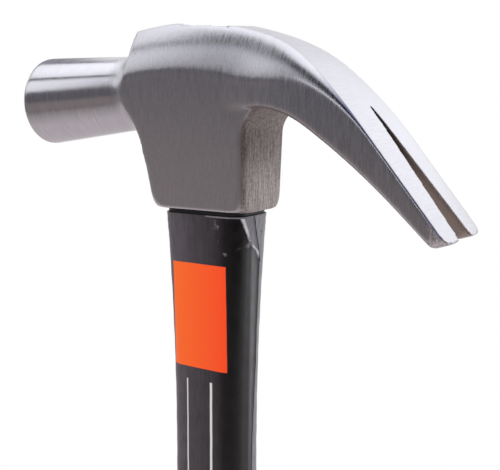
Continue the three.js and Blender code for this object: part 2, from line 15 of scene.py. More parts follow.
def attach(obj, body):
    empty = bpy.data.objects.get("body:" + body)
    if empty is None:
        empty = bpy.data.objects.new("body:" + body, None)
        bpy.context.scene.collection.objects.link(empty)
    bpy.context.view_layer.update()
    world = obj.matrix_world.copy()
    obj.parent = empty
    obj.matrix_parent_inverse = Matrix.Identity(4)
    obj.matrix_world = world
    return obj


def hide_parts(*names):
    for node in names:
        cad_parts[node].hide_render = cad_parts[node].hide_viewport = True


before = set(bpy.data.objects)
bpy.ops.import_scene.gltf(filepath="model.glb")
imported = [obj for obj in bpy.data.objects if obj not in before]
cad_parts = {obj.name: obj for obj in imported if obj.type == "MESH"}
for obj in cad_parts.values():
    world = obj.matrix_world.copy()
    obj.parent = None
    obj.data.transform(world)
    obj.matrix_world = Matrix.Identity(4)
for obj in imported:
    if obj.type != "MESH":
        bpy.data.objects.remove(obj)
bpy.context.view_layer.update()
print("nodes in the frame:", sorted(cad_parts))

# %% [markdown]
# Lengths are thought of in millimetres, as a toolmaker does, and Blender wants metres. One factor
# turns the first into the second. The head is drawn about the middle of its own eye, at the bottom
# of the collar, and is lifted onto the handle afterwards, so that place comes first.

# %% Units and the seat of the head
MM = 0.001
HANDLE_LENGTH = 275 * MM
HEAD_SETBACK = 0.3 * MM
HEAD_SEAT = Matrix.Translation((HEAD_SETBACK, 0, HANDLE_LENGTH))
QUARTER = math.pi / 2
print("the head sits at", tuple(round(value, 4) for value in HEAD_SEAT.translation))

# %% [markdown]
# The photograph was taken from close by, a hand's breadth above the collar, round towards the
# claw. A near camera makes the far prong smaller and shows the back of the collar. The picture is
# cropped off centre, so the lens is shifted a little instead of turning the camera.

# %% The camera
CAMERA_PLACE = Vector((145.8, -215.7, 307.8)) * MM
CAMERA_AZIMUTH = 33.71
CAMERA_ELEVATION = 8.0
SENSOR_WIDTH = 36
FRAME_WIDTH, FRAME_HEIGHT = 500, 470
FOCAL_PIXELS = 850.2
AXIS_X, AXIS_Y = 221.6, 219.1

camera_data = bpy.data.cameras.new("camera")
camera_data.sensor_width = SENSOR_WIDTH
camera_data.lens = FOCAL_PIXELS * SENSOR_WIDTH / FRAME_WIDTH
camera_data.shift_x = (FRAME_WIDTH / 2 - AXIS_X) / FRAME_WIDTH
camera_data.shift_y = (AXIS_Y - FRAME_HEIGHT / 2) / FRAME_WIDTH
camera_data.clip_start = 10 * MM
camera = bpy.data.objects.new("camera", camera_data)
camera.location = CAMERA_PLACE
camera.rotation_euler = (
    math.radians(90 - CAMERA_ELEVATION), 0, math.radians(CAMERA_AZIMUTH)
)
bpy.context.scene.collection.objects.link(camera)
bpy.context.scene.camera = camera
print("focal length", round(camera_data.lens, 1), "mm")

# %% [markdown]
# Most pieces here are lofts: a row of closed outlines, each a little different from the last, with
# a skin between them. Blender's circle operator gives a closed loop of vertices, a formula moves
# them onto the outline, and the bridge operator makes the skin between two loops. The first and
# last loop get one face each, so the body is closed.

# %% Lofting a body from outlines
def add_loop(bm, points):
    """A closed loop of edges through the points."""
    verts = bmesh.ops.create_circle(bm, segments=len(points), radius=MM)["verts"]
    for vert, point in zip(verts, points):
        vert.co = point
    return list({edge for vert in verts for edge in vert.link_edges})


def loft(outlines, closed_ends=True):
    bm = bmesh.new()
    loops = [add_loop(bm, points) for points in outlines]
    for near, far in zip(loops, loops[1:]):
        bmesh.ops.bridge_loops(bm, edges=near + far)
    if closed_ends:
        for end in (loops[0], loops[-1]):
            bmesh.ops.contextual_create(bm, geom=end)
    else:
        bmesh.ops.bridge_loops(bm, edges=loops[0] + loops[-1])
    bmesh.ops.recalc_face_normals(bm, faces=bm.faces)
    return bm


def object_from(bm, name, matrix=Matrix.Identity(4)):
    """Turns a bmesh into an object at the origin, with its place in its mesh."""
    bmesh.ops.transform(bm, matrix=matrix, verts=bm.verts)
    mesh = bpy.data.meshes.new(name)
    bm.to_mesh(mesh)
    bm.free()
    made = bpy.data.objects.new(name, mesh)
    bpy.context.scene.collection.objects.link(made)
    return made


print("helpers made: add_loop, loft, object_from")

# %% [markdown]
# Most sizes here change along the piece. A blend goes evenly from one size to the next, and an ease
# starts and stops gently, so that no line shows on the steel where it starts. The outline that
# comes back most is a rounded rectangle, for the collar, the eye, the handle and the grip.

# %% Gradual changes and a rounded outline
def blend(low, high, share):
    return low + (high - low) * share


def ease(value, start, end):
    """0 before start, 1 after end, and a smooth change between them."""
    share = min(max((value - start) / (end - start), 0), 1)
    return share * share * (3 - 2 * share)


def shares(steps):
    return [step / steps for step in range(steps + 1)]


def rounded_rectangle(length, width, radius, middle, height, corner_steps=10):
    """A level outline about (middle, 0), longer along X than across."""
    points = []
    for quarter, (along, across) in enumerate(((1, 1), (-1, 1), (-1, -1), (1, -1))):
        centre = Vector((
            middle + along * (length / 2 - radius), across * (width / 2 - radius), height
        ))
        for share in shares(corner_steps):
            angle = QUARTER * (quarter + share)
            points.append(centre + radius * Vector((math.cos(angle), math.sin(angle), 0)))
    return points


print("points in one outline:", len(rounded_rectangle(2 * MM, MM, MM / 4, 0, 0)))

# %% [markdown]
# The head starts as one bar that runs from the cheeks round the eye to the tips of the claw. Seen
# from the side, its top is a chain of arcs that bend further and further down and end in a
# straight. Its underside is level under the cheeks and then follows in two arcs. Both lines are
# made by one function, which walks along the arcs and keeps its heading.

# %% Side lines of the claw
CHEEK_FRONT = -33 * MM
CROWN = (-7 * MM, 56.1 * MM)
CROWN_FRONT_RADIUS = 110 * MM
TOP_BENDS = ((95.7 * MM, 18.4), (45.4 * MM, 23.2), (150 * MM, 9.5))
UNDER_START = (20.3 * MM, 30.7 * MM)
UNDER_BENDS = ((30.3 * MM, 33.1), (197 * MM, 10.1))
CLAW_END = 77.9 * MM
LINE_STEPS = 240


def walk_down(start, bends, end):
    """Points from start, which is level, through bends (radius, degrees) and straight to end."""
    x, z = start
    heading = 0
    points = [(x, z)]
    for radius, degrees in bends:
        turn = math.radians(degrees)
        for share in shares(LINE_STEPS)[1:]:
            now = heading + turn * share
            points.append((
                x + radius * (math.sin(now) - math.sin(heading)),
                z - radius * (math.cos(heading) - math.cos(now)),
            ))
        heading += turn
        x, z = points[-1]
    for share in shares(LINE_STEPS)[1:]:
        reach = blend(x, end, share)
        points.append((reach, z - (reach - x) * math.tan(heading)))
    return points, heading


crown_x, crown_z = CROWN
front_turn = math.asin((crown_x - CHEEK_FRONT) / CROWN_FRONT_RADIUS)
top_line = [
    (
        crown_x - CROWN_FRONT_RADIUS * math.sin(front_turn * (1 - share)),
        crown_z - CROWN_FRONT_RADIUS * (1 - math.cos(front_turn * (1 - share))),
    )
    for share in shares(LINE_STEPS)[:-1]
]
claw_top, CLAW_SLOPE = walk_down(CROWN, TOP_BENDS, CLAW_END)
top_line += claw_top
under_line, _ = walk_down(UNDER_START, UNDER_BENDS, CLAW_END)
under_line.insert(0, (CHEEK_FRONT, UNDER_START[1]))
print("the claw ends at a slope of", round(math.degrees(CLAW_SLOPE), 1), "degrees")

# %% [markdown]
# The bar is as wide as the cheeks at the eye and swells to the full width of the claw. The cheeks
# lean outwards a little, as the dies that forge them have to, so the width depends on the height
# as well as on the place along the bar.

# %% Widths along the bar
COLLAR_WIDTH = 21.8 * MM
SIDE_LEAN = math.tan(math.radians(2.5))
CLAW_WIDTH = 28.7 * MM
CLAW_TIP_WIDTH = 28.1 * MM
WIDENS_FROM = 9 * MM
WIDEST_AT = 36 * MM


def half_width(x, height):
    """Half the width of the bar: flat leaning cheeks that swell to the width of the claw."""
    cheek = COLLAR_WIDTH / 2 + height * SIDE_LEAN
    claw = blend(CLAW_WIDTH, CLAW_TIP_WIDTH, ease(x, WIDEST_AT, CLAW_END)) / 2
    return blend(cheek, claw, ease(x, WIDENS_FROM, WIDEST_AT))


print("half width at the eye:", round(half_width(0, UNDER_START[1]) / MM, 1), "mm")

# %% [markdown]
# Across the bar, the crown is a flat ridge, and from it a ground shoulder curves down the side. It
# starts at half a right angle and ends nearly upright, and that curve is what draws the light and
# dark bands along the cheek. Towards the claw the ridge spreads and the shoulder fades until only
# a hard edge is left. A section is worked out as pairs of numbers for its right half, how far
# across and how far down from the top, and the left half mirrors it.

# %% Cross-sections of the bar
SPREADS_FROM = -11.6 * MM
FADES_FROM = 14 * MM
HARD_EDGE_AT = 58 * MM
CROWN_RIDGE = 6.25 * MM
CROWN_ARCH = 0.8 * MM
CLAW_ARCH = 0.7 * MM
SHOULDER_DEPTH = 13.7 * MM
SHOULDER_SLOPE = 45
SHOULDER_LEAN = 8
CLAW_EDGE_WIDTH = 0.3 * MM
CLAW_EDGE_DEPTH = 0.4 * MM
UNDER_EDGE = 0.8 * MM
ARCH_STEPS, SHOULDER_STEPS, SIDE_STEPS = 5, 14, 5


def section(top, under):
    """The closed outline of the bar between a point of its top and one of its underside."""
    top, under = Vector(top), Vector(under)
    up = (top - under).normalized()
    depth = (top - under).length
    spread = ease(top.x, SPREADS_FROM, HARD_EDGE_AT) ** 2
    fade = ease(top.x, FADES_FROM, HARD_EDGE_AT)
    drop = blend(SHOULDER_DEPTH, CLAW_EDGE_DEPTH, fade)
    half = half_width(top.x, top.y - drop)
    ridge = blend(CROWN_RIDGE, half - CLAW_EDGE_WIDTH, spread)
    arch = blend(CROWN_ARCH, CLAW_ARCH, spread)
    edge = UNDER_EDGE * ease(top.x, WIDENS_FROM, WIDEST_AT)

    outline = [(ridge * share, arch * share * share) for share in shares(ARCH_STEPS)]
    slope = math.tan(math.radians(SHOULDER_SLOPE))
    lean = math.tan(math.radians(SHOULDER_LEAN * (1 - fade)))
    out = (half - ridge - drop * lean) / (1 - slope * lean)
    start, end = Vector((ridge, arch)), Vector((half, arch + drop))
    corner = start + Vector((out, out * slope))
    for share in shares(SHOULDER_STEPS)[1:]:
        outline.append(tuple(start.lerp(corner, share).lerp(corner.lerp(end, share), share)))
    for share in shares(SIDE_STEPS)[1:]:
        down = blend(arch + drop, depth - edge, share)
        place = top - up * down
        outline.append((half_width(place.x, place.y), down))
    lower = outline[-1][0]
    outline.append((lower - edge, depth))

    def place(across, down):
        return Vector((top.x - up.x * down, across, top.y - up.y * down))

    right = [place(across, down) for across, down in outline]
    left = [place(-across, down) for across, down in outline[1:]]
    return right + left[::-1]


print("points in one section:", len(section(CROWN, (CROWN[0], UNDER_START[1]))))

# %% [markdown]
# The sections are set along the bar like the ribs of a boat. Under the cheeks each one stands
# upright. From the eye on, they lean with the claw: each joins a point of the top line to the point
# of the underside that is as far along.

# %% The bar
CHEEK_STEPS, CLAW_STEPS = 30, 90


def evenly(line, start, end, steps):
    """Points of a side line between two reaches, evenly spaced along it."""
    points = np.array(line)
    along = np.concatenate(([0], np.cumsum(np.hypot(*np.diff(points, axis=0).T))))
    first, last = np.interp((start, end), points[:, 0], along)
    places = np.linspace(first, last, steps + 1)
    return [tuple(np.interp(place, along, side) for side in points.T) for place in places]


cheek_tops = evenly(top_line, CHEEK_FRONT, WIDENS_FROM, CHEEK_STEPS)
claw_tops = evenly(top_line, WIDENS_FROM, CLAW_END, CLAW_STEPS)
claw_unders = evenly(under_line, WIDENS_FROM, CLAW_END, CLAW_STEPS)
bar_outlines = [section(top, (top[0], UNDER_START[1])) for top in cheek_tops]
bar_outlines += [section(top, under) for top, under in zip(claw_tops[1:], claw_unders[1:])]
bar = object_from(loft(bar_outlines), "bar")
print("bar:", len(bar.data.polygons), "faces")

# %% [markdown]
# Below the cheeks hangs the collar, the socket that takes the handle. Its front leans and then
# sweeps out under the neck, its back is nearly upright and sweeps up into the underside of the
# claw, and its corners open to an oval at the foot. It is lofted from level outlines.

# %% The collar
COLLAR_FRONT = 17.2 * MM
FRONT_LEAN = math.tan(math.radians(11.4))
THROAT_HEIGHT = 12 * MM
THROAT_REACH = 28 * MM
COLLAR_BACK = 16.5 * MM
BACK_LEAN = math.tan(math.radians(1))
COLLAR_CORNER = 2 * MM
FOOT_CORNER = 6.4 * MM
FOOT_HEIGHT = 4.5 * MM
FOOT_EDGE = 0.3 * MM
ROOT_FILLET = 7.8 * MM
HIDDEN_RISE = 3 * MM
COLLAR_STEPS, FILLET_STEPS = 24, 16


def collar_outline(height, hollow=0, inset=0):
    rise = (height - THROAT_HEIGHT) / (UNDER_START[1] - THROAT_HEIGHT)
    front = COLLAR_FRONT + height * FRONT_LEAN + THROAT_REACH * max(0, rise) ** 2 - inset
    back = COLLAR_BACK + height * BACK_LEAN + hollow - inset
    foot = max(0, 1 - height / FOOT_HEIGHT)
    corner = blend(COLLAR_CORNER, FOOT_CORNER, 1 - math.sqrt(1 - foot * foot))
    width = COLLAR_WIDTH + 2 * height * SIDE_LEAN - 2 * inset
    return rounded_rectangle(front + back, width, corner, (back - front) / 2, height)


hollow_start = UNDER_START[1] - ROOT_FILLET
collar_outlines = [collar_outline(0, inset=FOOT_EDGE)]
for share in shares(COLLAR_STEPS)[:-1]:
    collar_outlines.append(collar_outline(blend(FOOT_EDGE, hollow_start, share ** 1.5)))
for share in shares(FILLET_STEPS):
    turn = QUARTER * share
    height = hollow_start + ROOT_FILLET * math.sin(turn)
    collar_outlines.append(collar_outline(height, ROOT_FILLET * (1 - math.cos(turn))))
collar_outlines.append(collar_outline(UNDER_START[1] + HIDDEN_RISE, ROOT_FILLET))
collar = object_from(loft(collar_outlines), "collar")
print("collar:", len(collar_outlines), "outlines")

# %% [markdown]
# The poll and the flare behind it were turned on a lathe, so what is left of the head at this end
# is what lies inside a turned outline. Its rings stand upright while its axis falls a little
# towards the face. The flare opens tighter above the neck than below it, so its profile is blended
# round the ring.

# %% Rings of the poll and the flare
FACE_X = -69 * MM
FACE_RADIUS = 14.5 * MM
FACE_FLAT = 9.5 * MM
FACE_CROWN = 0.4 * MM
FACE_RIM = 1.3 * MM
NECK_X = -31.2 * MM
NECK_RADIUS = 11.8 * MM
NECK_HEIGHT = 34.7 * MM
POLL_DROOP = math.tan(math.radians(3.9))
FLARE_TOP = (5.2 * MM, math.radians(88))
FLARE_BOTTOM = (11.7 * MM, math.radians(79))
FLARE_RUN = 60 * MM
POLL_SIDES = 120


def turned_ring(place_at):
    """A ring of the poll. place_at gives (x, radius) for 0 at its bottom to 1 at its top."""
    points = []
    for share in shares(POLL_SIDES)[:-1]:
        angle = 2 * math.pi * share
        x, radius = place_at((1 + math.sin(angle)) / 2)
        axis = NECK_HEIGHT + (x - NECK_X) * POLL_DROOP
        points.append(Vector((x, radius * math.cos(angle), axis + radius * math.sin(angle))))
    return points


def flare_ring(turn_share, run):
    """A ring of the flare, part of the way round its bend and then straight on for a run."""
    def place_at(up):
        bend = blend(FLARE_BOTTOM[0], FLARE_TOP[0], up)
        turn = turn_share * blend(FLARE_BOTTOM[1], FLARE_TOP[1], up)
        x = NECK_X + bend * math.sin(turn) + run * math.cos(turn)
        return x, NECK_RADIUS + bend * (1 - math.cos(turn)) + run * math.sin(turn)
    return turned_ring(place_at)


print("sides of a ring:", len(flare_ring(1, 0)))

# %% [markdown]
# The rings follow each other from the flat of the face over its rounded rim, along the neck, round
# the flare and far out. A plain round bar gives the poll its material, and what lies inside the
# rings is kept of it and of the cheeks.

# %% The turned outline and the bar for the poll
RIM_STEPS, FLARE_STEPS, BAR_SIDES = 6, 18, 64
BEYOND = 20 * MM
POLL_OVERLAP = 3 * MM

rim_radius = FACE_RADIUS - FACE_RIM
turned = [
    turned_ring(lambda up: (FACE_X, FACE_FLAT)),
    turned_ring(lambda up: (FACE_X + FACE_CROWN, rim_radius)),
]
for share in shares(RIM_STEPS)[1:]:
    turn = QUARTER * share
    rim_x = FACE_X + FACE_CROWN + FACE_RIM * (1 - math.cos(turn))
    rim_r = rim_radius + FACE_RIM * math.sin(turn)
    turned.append(turned_ring(lambda up: (rim_x, rim_r)))
turned += [flare_ring(share, 0) for share in shares(FLARE_STEPS)]
turned.append(flare_ring(1, FLARE_RUN))
turned.append(turned_ring(lambda up: (CLAW_END + BEYOND, NECK_RADIUS + 2 * FLARE_RUN)))
turned_outline = object_from(loft(turned), "turned_outline")

bm = bmesh.new()
poll_middle = (NECK_X + FACE_X - BEYOND) / 2 + POLL_OVERLAP
bmesh.ops.create_cone(
    bm, cap_ends=True, segments=BAR_SIDES, radius1=2 * FACE_RADIUS, radius2=2 * FACE_RADIUS,
    depth=NECK_X - FACE_X + BEYOND,
    matrix=Matrix.Translation((poll_middle, 0, NECK_HEIGHT)) @ Matrix.Rotation(QUARTER, 4, "Y"),
)
poll_bar = object_from(bm, "poll_bar")
print("turned outline:", len(turned), "rings")

# %% [markdown]
# The claw is finished with two cutters that are drawn flat on its straight end. The first keeps
# what lies inside the outline of the tips. It leans forward at the top, so that the tips end in a
# chisel.

# %% The tips of the claw
TIP_CORNER = 3.4 * MM
TIP_INNER = 1.6 * MM
TIP_LEAN = math.tan(math.radians(20))
SLOT_MOUTH = 9.3 * MM
CLAW_FRAME = (
    Matrix.Translation((CLAW_END, 0, claw_top[-1][1])) @ Matrix.Rotation(CLAW_SLOPE, 4, "Y")
)


def arc(centre, radius, start, end, steps=8):
    """Points of a flat arc between two angles."""
    return [
        Vector((
            centre[0] + radius * math.cos(blend(start, end, share)),
            centre[1] + radius * math.sin(blend(start, end, share)),
            0,
        ))
        for share in shares(steps)
    ]


half_tip = CLAW_TIP_WIDTH / 2
behind = CLAW_END - FACE_X + BEYOND
inner = SLOT_MOUTH / 2 + TIP_INNER
side = (
    [Vector((-behind, behind, 0)), Vector((-TIP_CORNER, behind, 0))]
    + arc((-TIP_CORNER, half_tip - TIP_CORNER), TIP_CORNER, QUARTER, 0)
    + arc((-TIP_INNER, inner), TIP_INNER, 0, -QUARTER)
)
tip_plan = side + [Vector((point.x, -point.y, 0)) for point in side[::-1]]
lean = Matrix.Identity(4)
lean[0][2] = TIP_LEAN
tip_outlines = [[point + Vector((0, 0, z)) for point in tip_plan] for z in (-behind, behind)]
tip_keeper = object_from(loft(tip_outlines), "tip_keeper", CLAW_FRAME @ lean)
print("outline of the tips:", len(tip_plan), "points")

# %% [markdown]
# The second cutter is the nail slot, a V whose walls are upright for a millimetre and then lean
# apart, so that a nail head climbs in from below.

# %% The nail slot
SLOT_LENGTH = 43.5 * MM
SLOT_ROOT = 0.7 * MM
SLOT_LAND = 1 * MM
SLOT_BEVEL = math.tan(math.radians(12))


def slot_outline(depth):
    """The V of the slot at a depth below the claw's top."""
    root = SLOT_ROOT / 2 + max(0, depth - SLOT_LAND) * SLOT_BEVEL
    mouth = root + (SLOT_MOUTH - SLOT_ROOT) / 2 * (1 + BEYOND / SLOT_LENGTH)
    right = [(-SLOT_LENGTH, -root), (BEYOND, -mouth), (BEYOND, mouth), (-SLOT_LENGTH, root)]
    plan = right + [(-SLOT_LENGTH - root, 0)]
    return [Vector((x, y, -depth)) for x, y in plan]


slot_outlines = [slot_outline(depth) for depth in (-BEYOND, SLOT_LAND, BEYOND)]
slot_cutter = object_from(loft(slot_outlines), "slot_cutter", CLAW_FRAME)
print("the slot opens to", round(SLOT_MOUTH / MM, 1), "mm over", round(SLOT_LENGTH / MM, 1), "mm")

# %% [markdown]
# The eye goes right through the head and is a little wider at the top, so that the cast resin
# locks the handle in.

# %% The eye
EYE_BOTTOM = (22.8 * MM, 12.8 * MM)
EYE_TOP = (25 * MM, 13.2 * MM)
EYE_CORNER = 6 * MM
HEAD_HEIGHT = crown_z


def eye_outline(height):
    share = height / HEAD_HEIGHT
    length, width = (blend(low, high, share) for low, high in zip(EYE_BOTTOM, EYE_TOP))
    return rounded_rectangle(length, width, EYE_CORNER, 0, height)


eye_cutter = object_from(
    loft([eye_outline(-BEYOND), eye_outline(HEAD_HEIGHT + BEYOND)]), "eye_cutter"
)
print("the eye widens by", round((EYE_TOP[0] - EYE_BOTTOM[0]) / MM, 1), "mm towards its top")

# %% [markdown]
# Booleans put the bodies together in the order of the trade: forge, turn, then cut. They are
# modifiers in Blender, and settling one keeps what it made as the mesh of the object.

# %% Joining the bodies of the head
def join_in(target, operation, other):
    """Adds a boolean with another object to an object's modifiers."""
    modifier = target.modifiers.new(operation.lower(), "BOOLEAN")
    modifier.operation = operation
    modifier.object = other
    modifier.solver = "EXACT"


def settle(target):
    """Applies an object's modifiers, so that its mesh holds what they made."""
    graph = bpy.context.evaluated_depsgraph_get()
    mesh = bpy.data.meshes.new_from_object(target.evaluated_get(graph))
    target.modifiers.clear()
    target.data = mesh


steps = (
    ("UNION", collar), ("UNION", poll_bar), ("INTERSECT", turned_outline),
    ("INTERSECT", tip_keeper), ("DIFFERENCE", slot_cutter), ("DIFFERENCE", eye_cutter),
)
for operation, other in steps:
    join_in(bar, operation, other)
    settle(bar)
    bpy.data.objects.remove(other)
print("after the booleans:", len(bar.data.polygons), "faces")

# %% [markdown]
# The booleans leave edges as sharp as a drawing. Real forged and ground steel has none: every edge
# is broken by a fraction of a millimetre. The remesh modifier turns the result into one even skin
# whose vertices sit on the sharp edges, and a few rounds of smoothing wear those edges down while
# the flats stay flat.

# %% One even skin
SKIN_DEPTH = 8
SKIN_SCALE = 0.99
EASING_ROUNDS, EASING = 3, 0.5

remesh = bar.modifiers.new("even_skin", "REMESH")
remesh.mode = "SHARP"
remesh.octree_depth = SKIN_DEPTH
remesh.scale = SKIN_SCALE
remesh.use_remove_disconnected = False
settle(bar)
bm = bmesh.new()
bm.from_mesh(bar.data)
bpy.data.objects.remove(bar)
for _ in range(EASING_ROUNDS):
    bmesh.ops.smooth_vert(
        bm, verts=bm.verts, factor=EASING, use_axis_x=True, use_axis_y=True, use_axis_z=True
    )
for face in bm.faces:
    face.smooth = True
forged_head = object_from(bm, "forged_head", HEAD_SEAT)
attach(forged_head, "root")
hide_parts("hammer_head")
print("forged head:", len(forged_head.data.polygons), "faces")

# %% [markdown]
# Materials are built from nodes. One small function adds a node with its own settings and with a
# value or a link for each socket. Colours are written as the hex numbers of a paint chart, which
# are for the eye, and turned into the linear light that the renderer adds up.

# %% Helpers for materials
def linear(code):
    """A hex colour as linear red, green, blue and alpha."""
    parts = [int(code[index:index + 2], 16) / 255 for index in (1, 3, 5)]
    return [
        part / 12.92 if part <= 0.04045 else ((part + 0.055) / 1.055) ** 2.4 for part in parts
    ] + [1]


def add(tree, kind, sockets, **settings):
    """Adds a node. sockets gives its inputs by name or number, each a value or another's output."""
    made = tree.nodes.new(kind)
    for name, value in settings.items():
        setattr(made, name, value)
    for socket, value in sockets.items():
        if isinstance(value, bpy.types.NodeSocket):
            tree.links.new(value, made.inputs[socket])
        else:
            made.inputs[socket].default_value = value
    return made


def new_material(name):
    """An empty material, its tree and its object coordinates."""
    material = bpy.data.materials.new(name)
    material.use_nodes = True
    tree = material.node_tree
    tree.nodes.clear()
    return material, tree, tree.nodes.new("ShaderNodeTexCoord").outputs["Object"]


def finish_material(tree, shader):
    add(tree, "ShaderNodeOutputMaterial", {"Surface": shader.outputs[0]})
    print("material of", len(tree.nodes), "nodes")


print("mid grey in linear light:", round(linear("#808080")[0], 3))

# %% [markdown]
# A worker masks off one part of a piece before finishing it, and a material can do the same. A zone
# is white where every one of its bands is, and a band rises from black to white between two values
# of some measure, such as a height or the way that the surface faces. Coats are then laid over one
# another, each where its own mask is white.

# %% Zones and coats
def zone(tree, *bands, edge="LINEAR"):
    """A mask of one or more bands (measure, black from here, white from there)."""
    mask = None
    for measure, black, white in bands:
        band = add(tree, "ShaderNodeMapRange", {
            "Value": measure, "From Min": black, "From Max": white,
        }, interpolation_type=edge).outputs[0]
        mask = band if mask is None else add(
            tree, "ShaderNodeMath", {0: mask, 1: band}, operation="MULTIPLY"
        ).outputs[0]
    return mask


def strip_of(measure, low, high, soft):
    """Two bands that leave a strip between two values, with a soft edge on either side."""
    return (measure, low, low + soft), (measure, high, high - soft)


def coated(tree, ground, *coats, kind="RGBA"):
    """Lays coats (mask, colour or number) over the ground."""
    # the Mix node keeps its own pair of inputs, and an output, for each kind of value
    under, over, result = {"RGBA": (6, 7, 2), "FLOAT": (2, 3, 0)}[kind]
    for mask, coat in coats:
        mix = add(tree, "ShaderNodeMix", {0: mask, under: ground, over: coat}, data_type=kind)
        ground = mix.outputs[result]
    return ground


print("helpers made: zone, strip_of, coated")

# %% [markdown]
# The head is medium-carbon steel, drop forged and then worked in three ways. The poll was turned,
# so it is the smoothest. Cheeks, shoulders and claw were ground with a belt that ran round the bar.
# The hollows that the belt doesn't reach, which are the back of the collar, the underside of the
# claw and the slot, keep the grey skin of the forging. A dark blue line along the edge of the claw
# is a painted reflection, where the edge mirrors the dark part of the room. Use has worn the tips.
# Each finish, and the painted reflection, gets a zone.

# %% Where each finish lies
ground_steel, tree, place = new_material("ground_steel")
x, y, z = add(tree, "ShaderNodeSeparateXYZ", {0: place}).outputs
ahead, to_side, up = add(tree, "ShaderNodeSeparateXYZ", {0: place.node.outputs["Normal"]}).outputs
off_middle, aside = (
    add(tree, "ShaderNodeMath", {0: measure}, operation="ABSOLUTE").outputs[0]
    for measure in (y, to_side)
)
HEAD_FINISHES_AND_EDGE_REFLECTION = {
    "poll": ((x, -30 * MM, -35 * MM),),
    "top": ((up, 0.5, 0.85), (x, -35 * MM, -30 * MM)),
    "collar_back": (
        (ahead, 0.25, 0.65), (z, 309 * MM, 304 * MM),
        (x, 14 * MM, 15.5 * MM), (x, 27 * MM, 23 * MM),
    ),
    "collar_foot": ((z, 296 * MM, 279 * MM),),
    "underside": ((up, -0.25, -0.6), (x, 14 * MM, 15.5 * MM)),
    "worn_tip": ((x, 71 * MM, 74.5 * MM), (up, 0.6, 0.3)),
    "slot_wall": ((x, 26 * MM, 32 * MM), (aside, 0.4, 0.7), (off_middle, 9 * MM, 7 * MM)),
    "slot_root": ((x, 68 * MM, 50 * MM),),
    # painted reflection: a dark blue line where the claw's edge turns from its top to its side
    "claw_edge_reflection": (
        (aside, 0.25, 0.42), (aside, 0.92, 0.8), (up, 0.05, 0.25),
        (x, 38 * MM, 52 * MM), (off_middle, 7 * MM, 8.5 * MM),
    ),
}
where = {
    name: zone(tree, *bands, edge="SMOOTHSTEP") for name, bands in HEAD_FINISHES_AND_EDGE_REFLECTION.items()
}
forged = where["collar_back"]
for name in ("underside", "worn_tip"):
    forged = add(
        tree, "ShaderNodeMath", {0: forged, 1: where[name]}, operation="MAXIMUM"
    ).outputs[0]
print("finishes of the head:", sorted(where))

# %% [markdown]
# The belt's lines are one noise that is drawn out over millimetres round the bar and is fine along
# it. A real belt leaves about ten lines to the millimetre. That is too fine for this picture, so
# they are three times as coarse. They vary the height, the roughness and a little the brightness,
# which frays the edges of the bands of light. The forging's skin is a fine grain, as shot blasting
# leaves it, with the scores of a file on the back of the collar, and soft clouds vary its tone.
# Noise seldom leaves the range from 0.3 to 0.7, so that range is stretched wherever it is used.

# %% Belt lines and forged grain
NOISE_RANGE = {"From Min": 0.3, "From Max": 0.7}
# size along X, Y and Z in millimetres, detail and roughness of the noise
STEEL_PATTERNS = (
    ((0.3, 6, 6), 3, 0.65), ((0.5, 0.625, 10), 3, 0.7), ((0.8, 0.8, 0.8), 4, 0.75),
    ((11.11, 11.11, 11.11), 3, 0.5),
)

patterns = []
for sizes, detail, roughness in STEEL_PATTERNS:
    scaled = add(tree, "ShaderNodeMapping", {
        "Vector": place, "Scale": [1 / (size * MM) for size in sizes],
    })
    patterns.append(add(tree, "ShaderNodeTexNoise", {
        "Vector": scaled.outputs[0], "Scale": 1.0, "Detail": detail, "Roughness": roughness,
    }).outputs["Fac"])
lines, scores, grain, clouds = patterns
pits = add(tree, "ShaderNodeMath", {0: grain, 1: scores}, operation="ADD").outputs[0]
print("patterns on the steel:", len(patterns))

# %% [markdown]
# Bare steel takes its colour from the room, so its own colour is a plain light grey, a little
# brighter on the crests of the lines. The skin of the forging is duller and warmer, and its pits
# are dark. It is rubbed paler at the foot of the collar and bright at the tips. The walls of the
# slot are brown, and get darker towards its root.

# %% Colours of the steel
STEEL = "#C9C8CD"
SKIN, SKIN_WARM, SKIN_WORN = "#8C8685", "#9C918E", "#B8AFAE"
TIP_BRIGHT = "#D6D2D4"
SLOT_BROWN, SLOT_DARK = "#B9ABA3", "#4E4440"
# the blue is a painted reflection of the dark room along the claw's edge
EDGE_REFLECTION_BLUE = "#5C5F78"

pit_tone = add(tree, "ShaderNodeMapRange", {
    "Value": pits, "From Min": 0.8, "From Max": 1.2, "To Min": 0.6, "To Max": 1.35,
}).outputs[0]
line_tone = add(tree, "ShaderNodeMapRange", {
    "Value": lines, "To Min": 0.86, "To Max": 1.08, **NOISE_RANGE,
}).outputs[0]
skin_tone = coated(
    tree, linear(SKIN), (clouds, linear(SKIN_WARM)), (where["collar_foot"], linear(SKIN_WORN)),
    (where["worn_tip"], linear(TIP_BRIGHT)),
)
steel_tone, skin_tone = (
    add(tree, "ShaderNodeVectorMath", {0: tone, "Scale": level}, operation="SCALE").outputs[0]
    for tone, level in ((linear(STEEL)[:3], line_tone), (skin_tone, pit_tone))
)
slot_tone = coated(tree, linear(SLOT_BROWN), (where["slot_root"], linear(SLOT_DARK)))
colour = coated(
    tree, steel_tone, (forged, skin_tone), (where["slot_wall"], slot_tone),
    (where["claw_edge_reflection"], linear(EDGE_REFLECTION_BLUE)),
)
print("colours of the head:", STEEL, SKIN, SLOT_BROWN, EDGE_REFLECTION_BLUE)

# %% [markdown]
# A ground surface mirrors the room softly, a turned one more sharply, and a blasted one hardly at
# all. Fine lines smear a mirror image across themselves, so here along the head, and keep it crisp
# the other way. The shader's anisotropy does that. It is one number for the whole head, because the
# blasted skin is so rough that it hardly shows there. The bump's heights are real ones for belt
# lines and turning marks, and those of the pits are drawn as coarse as the grain.

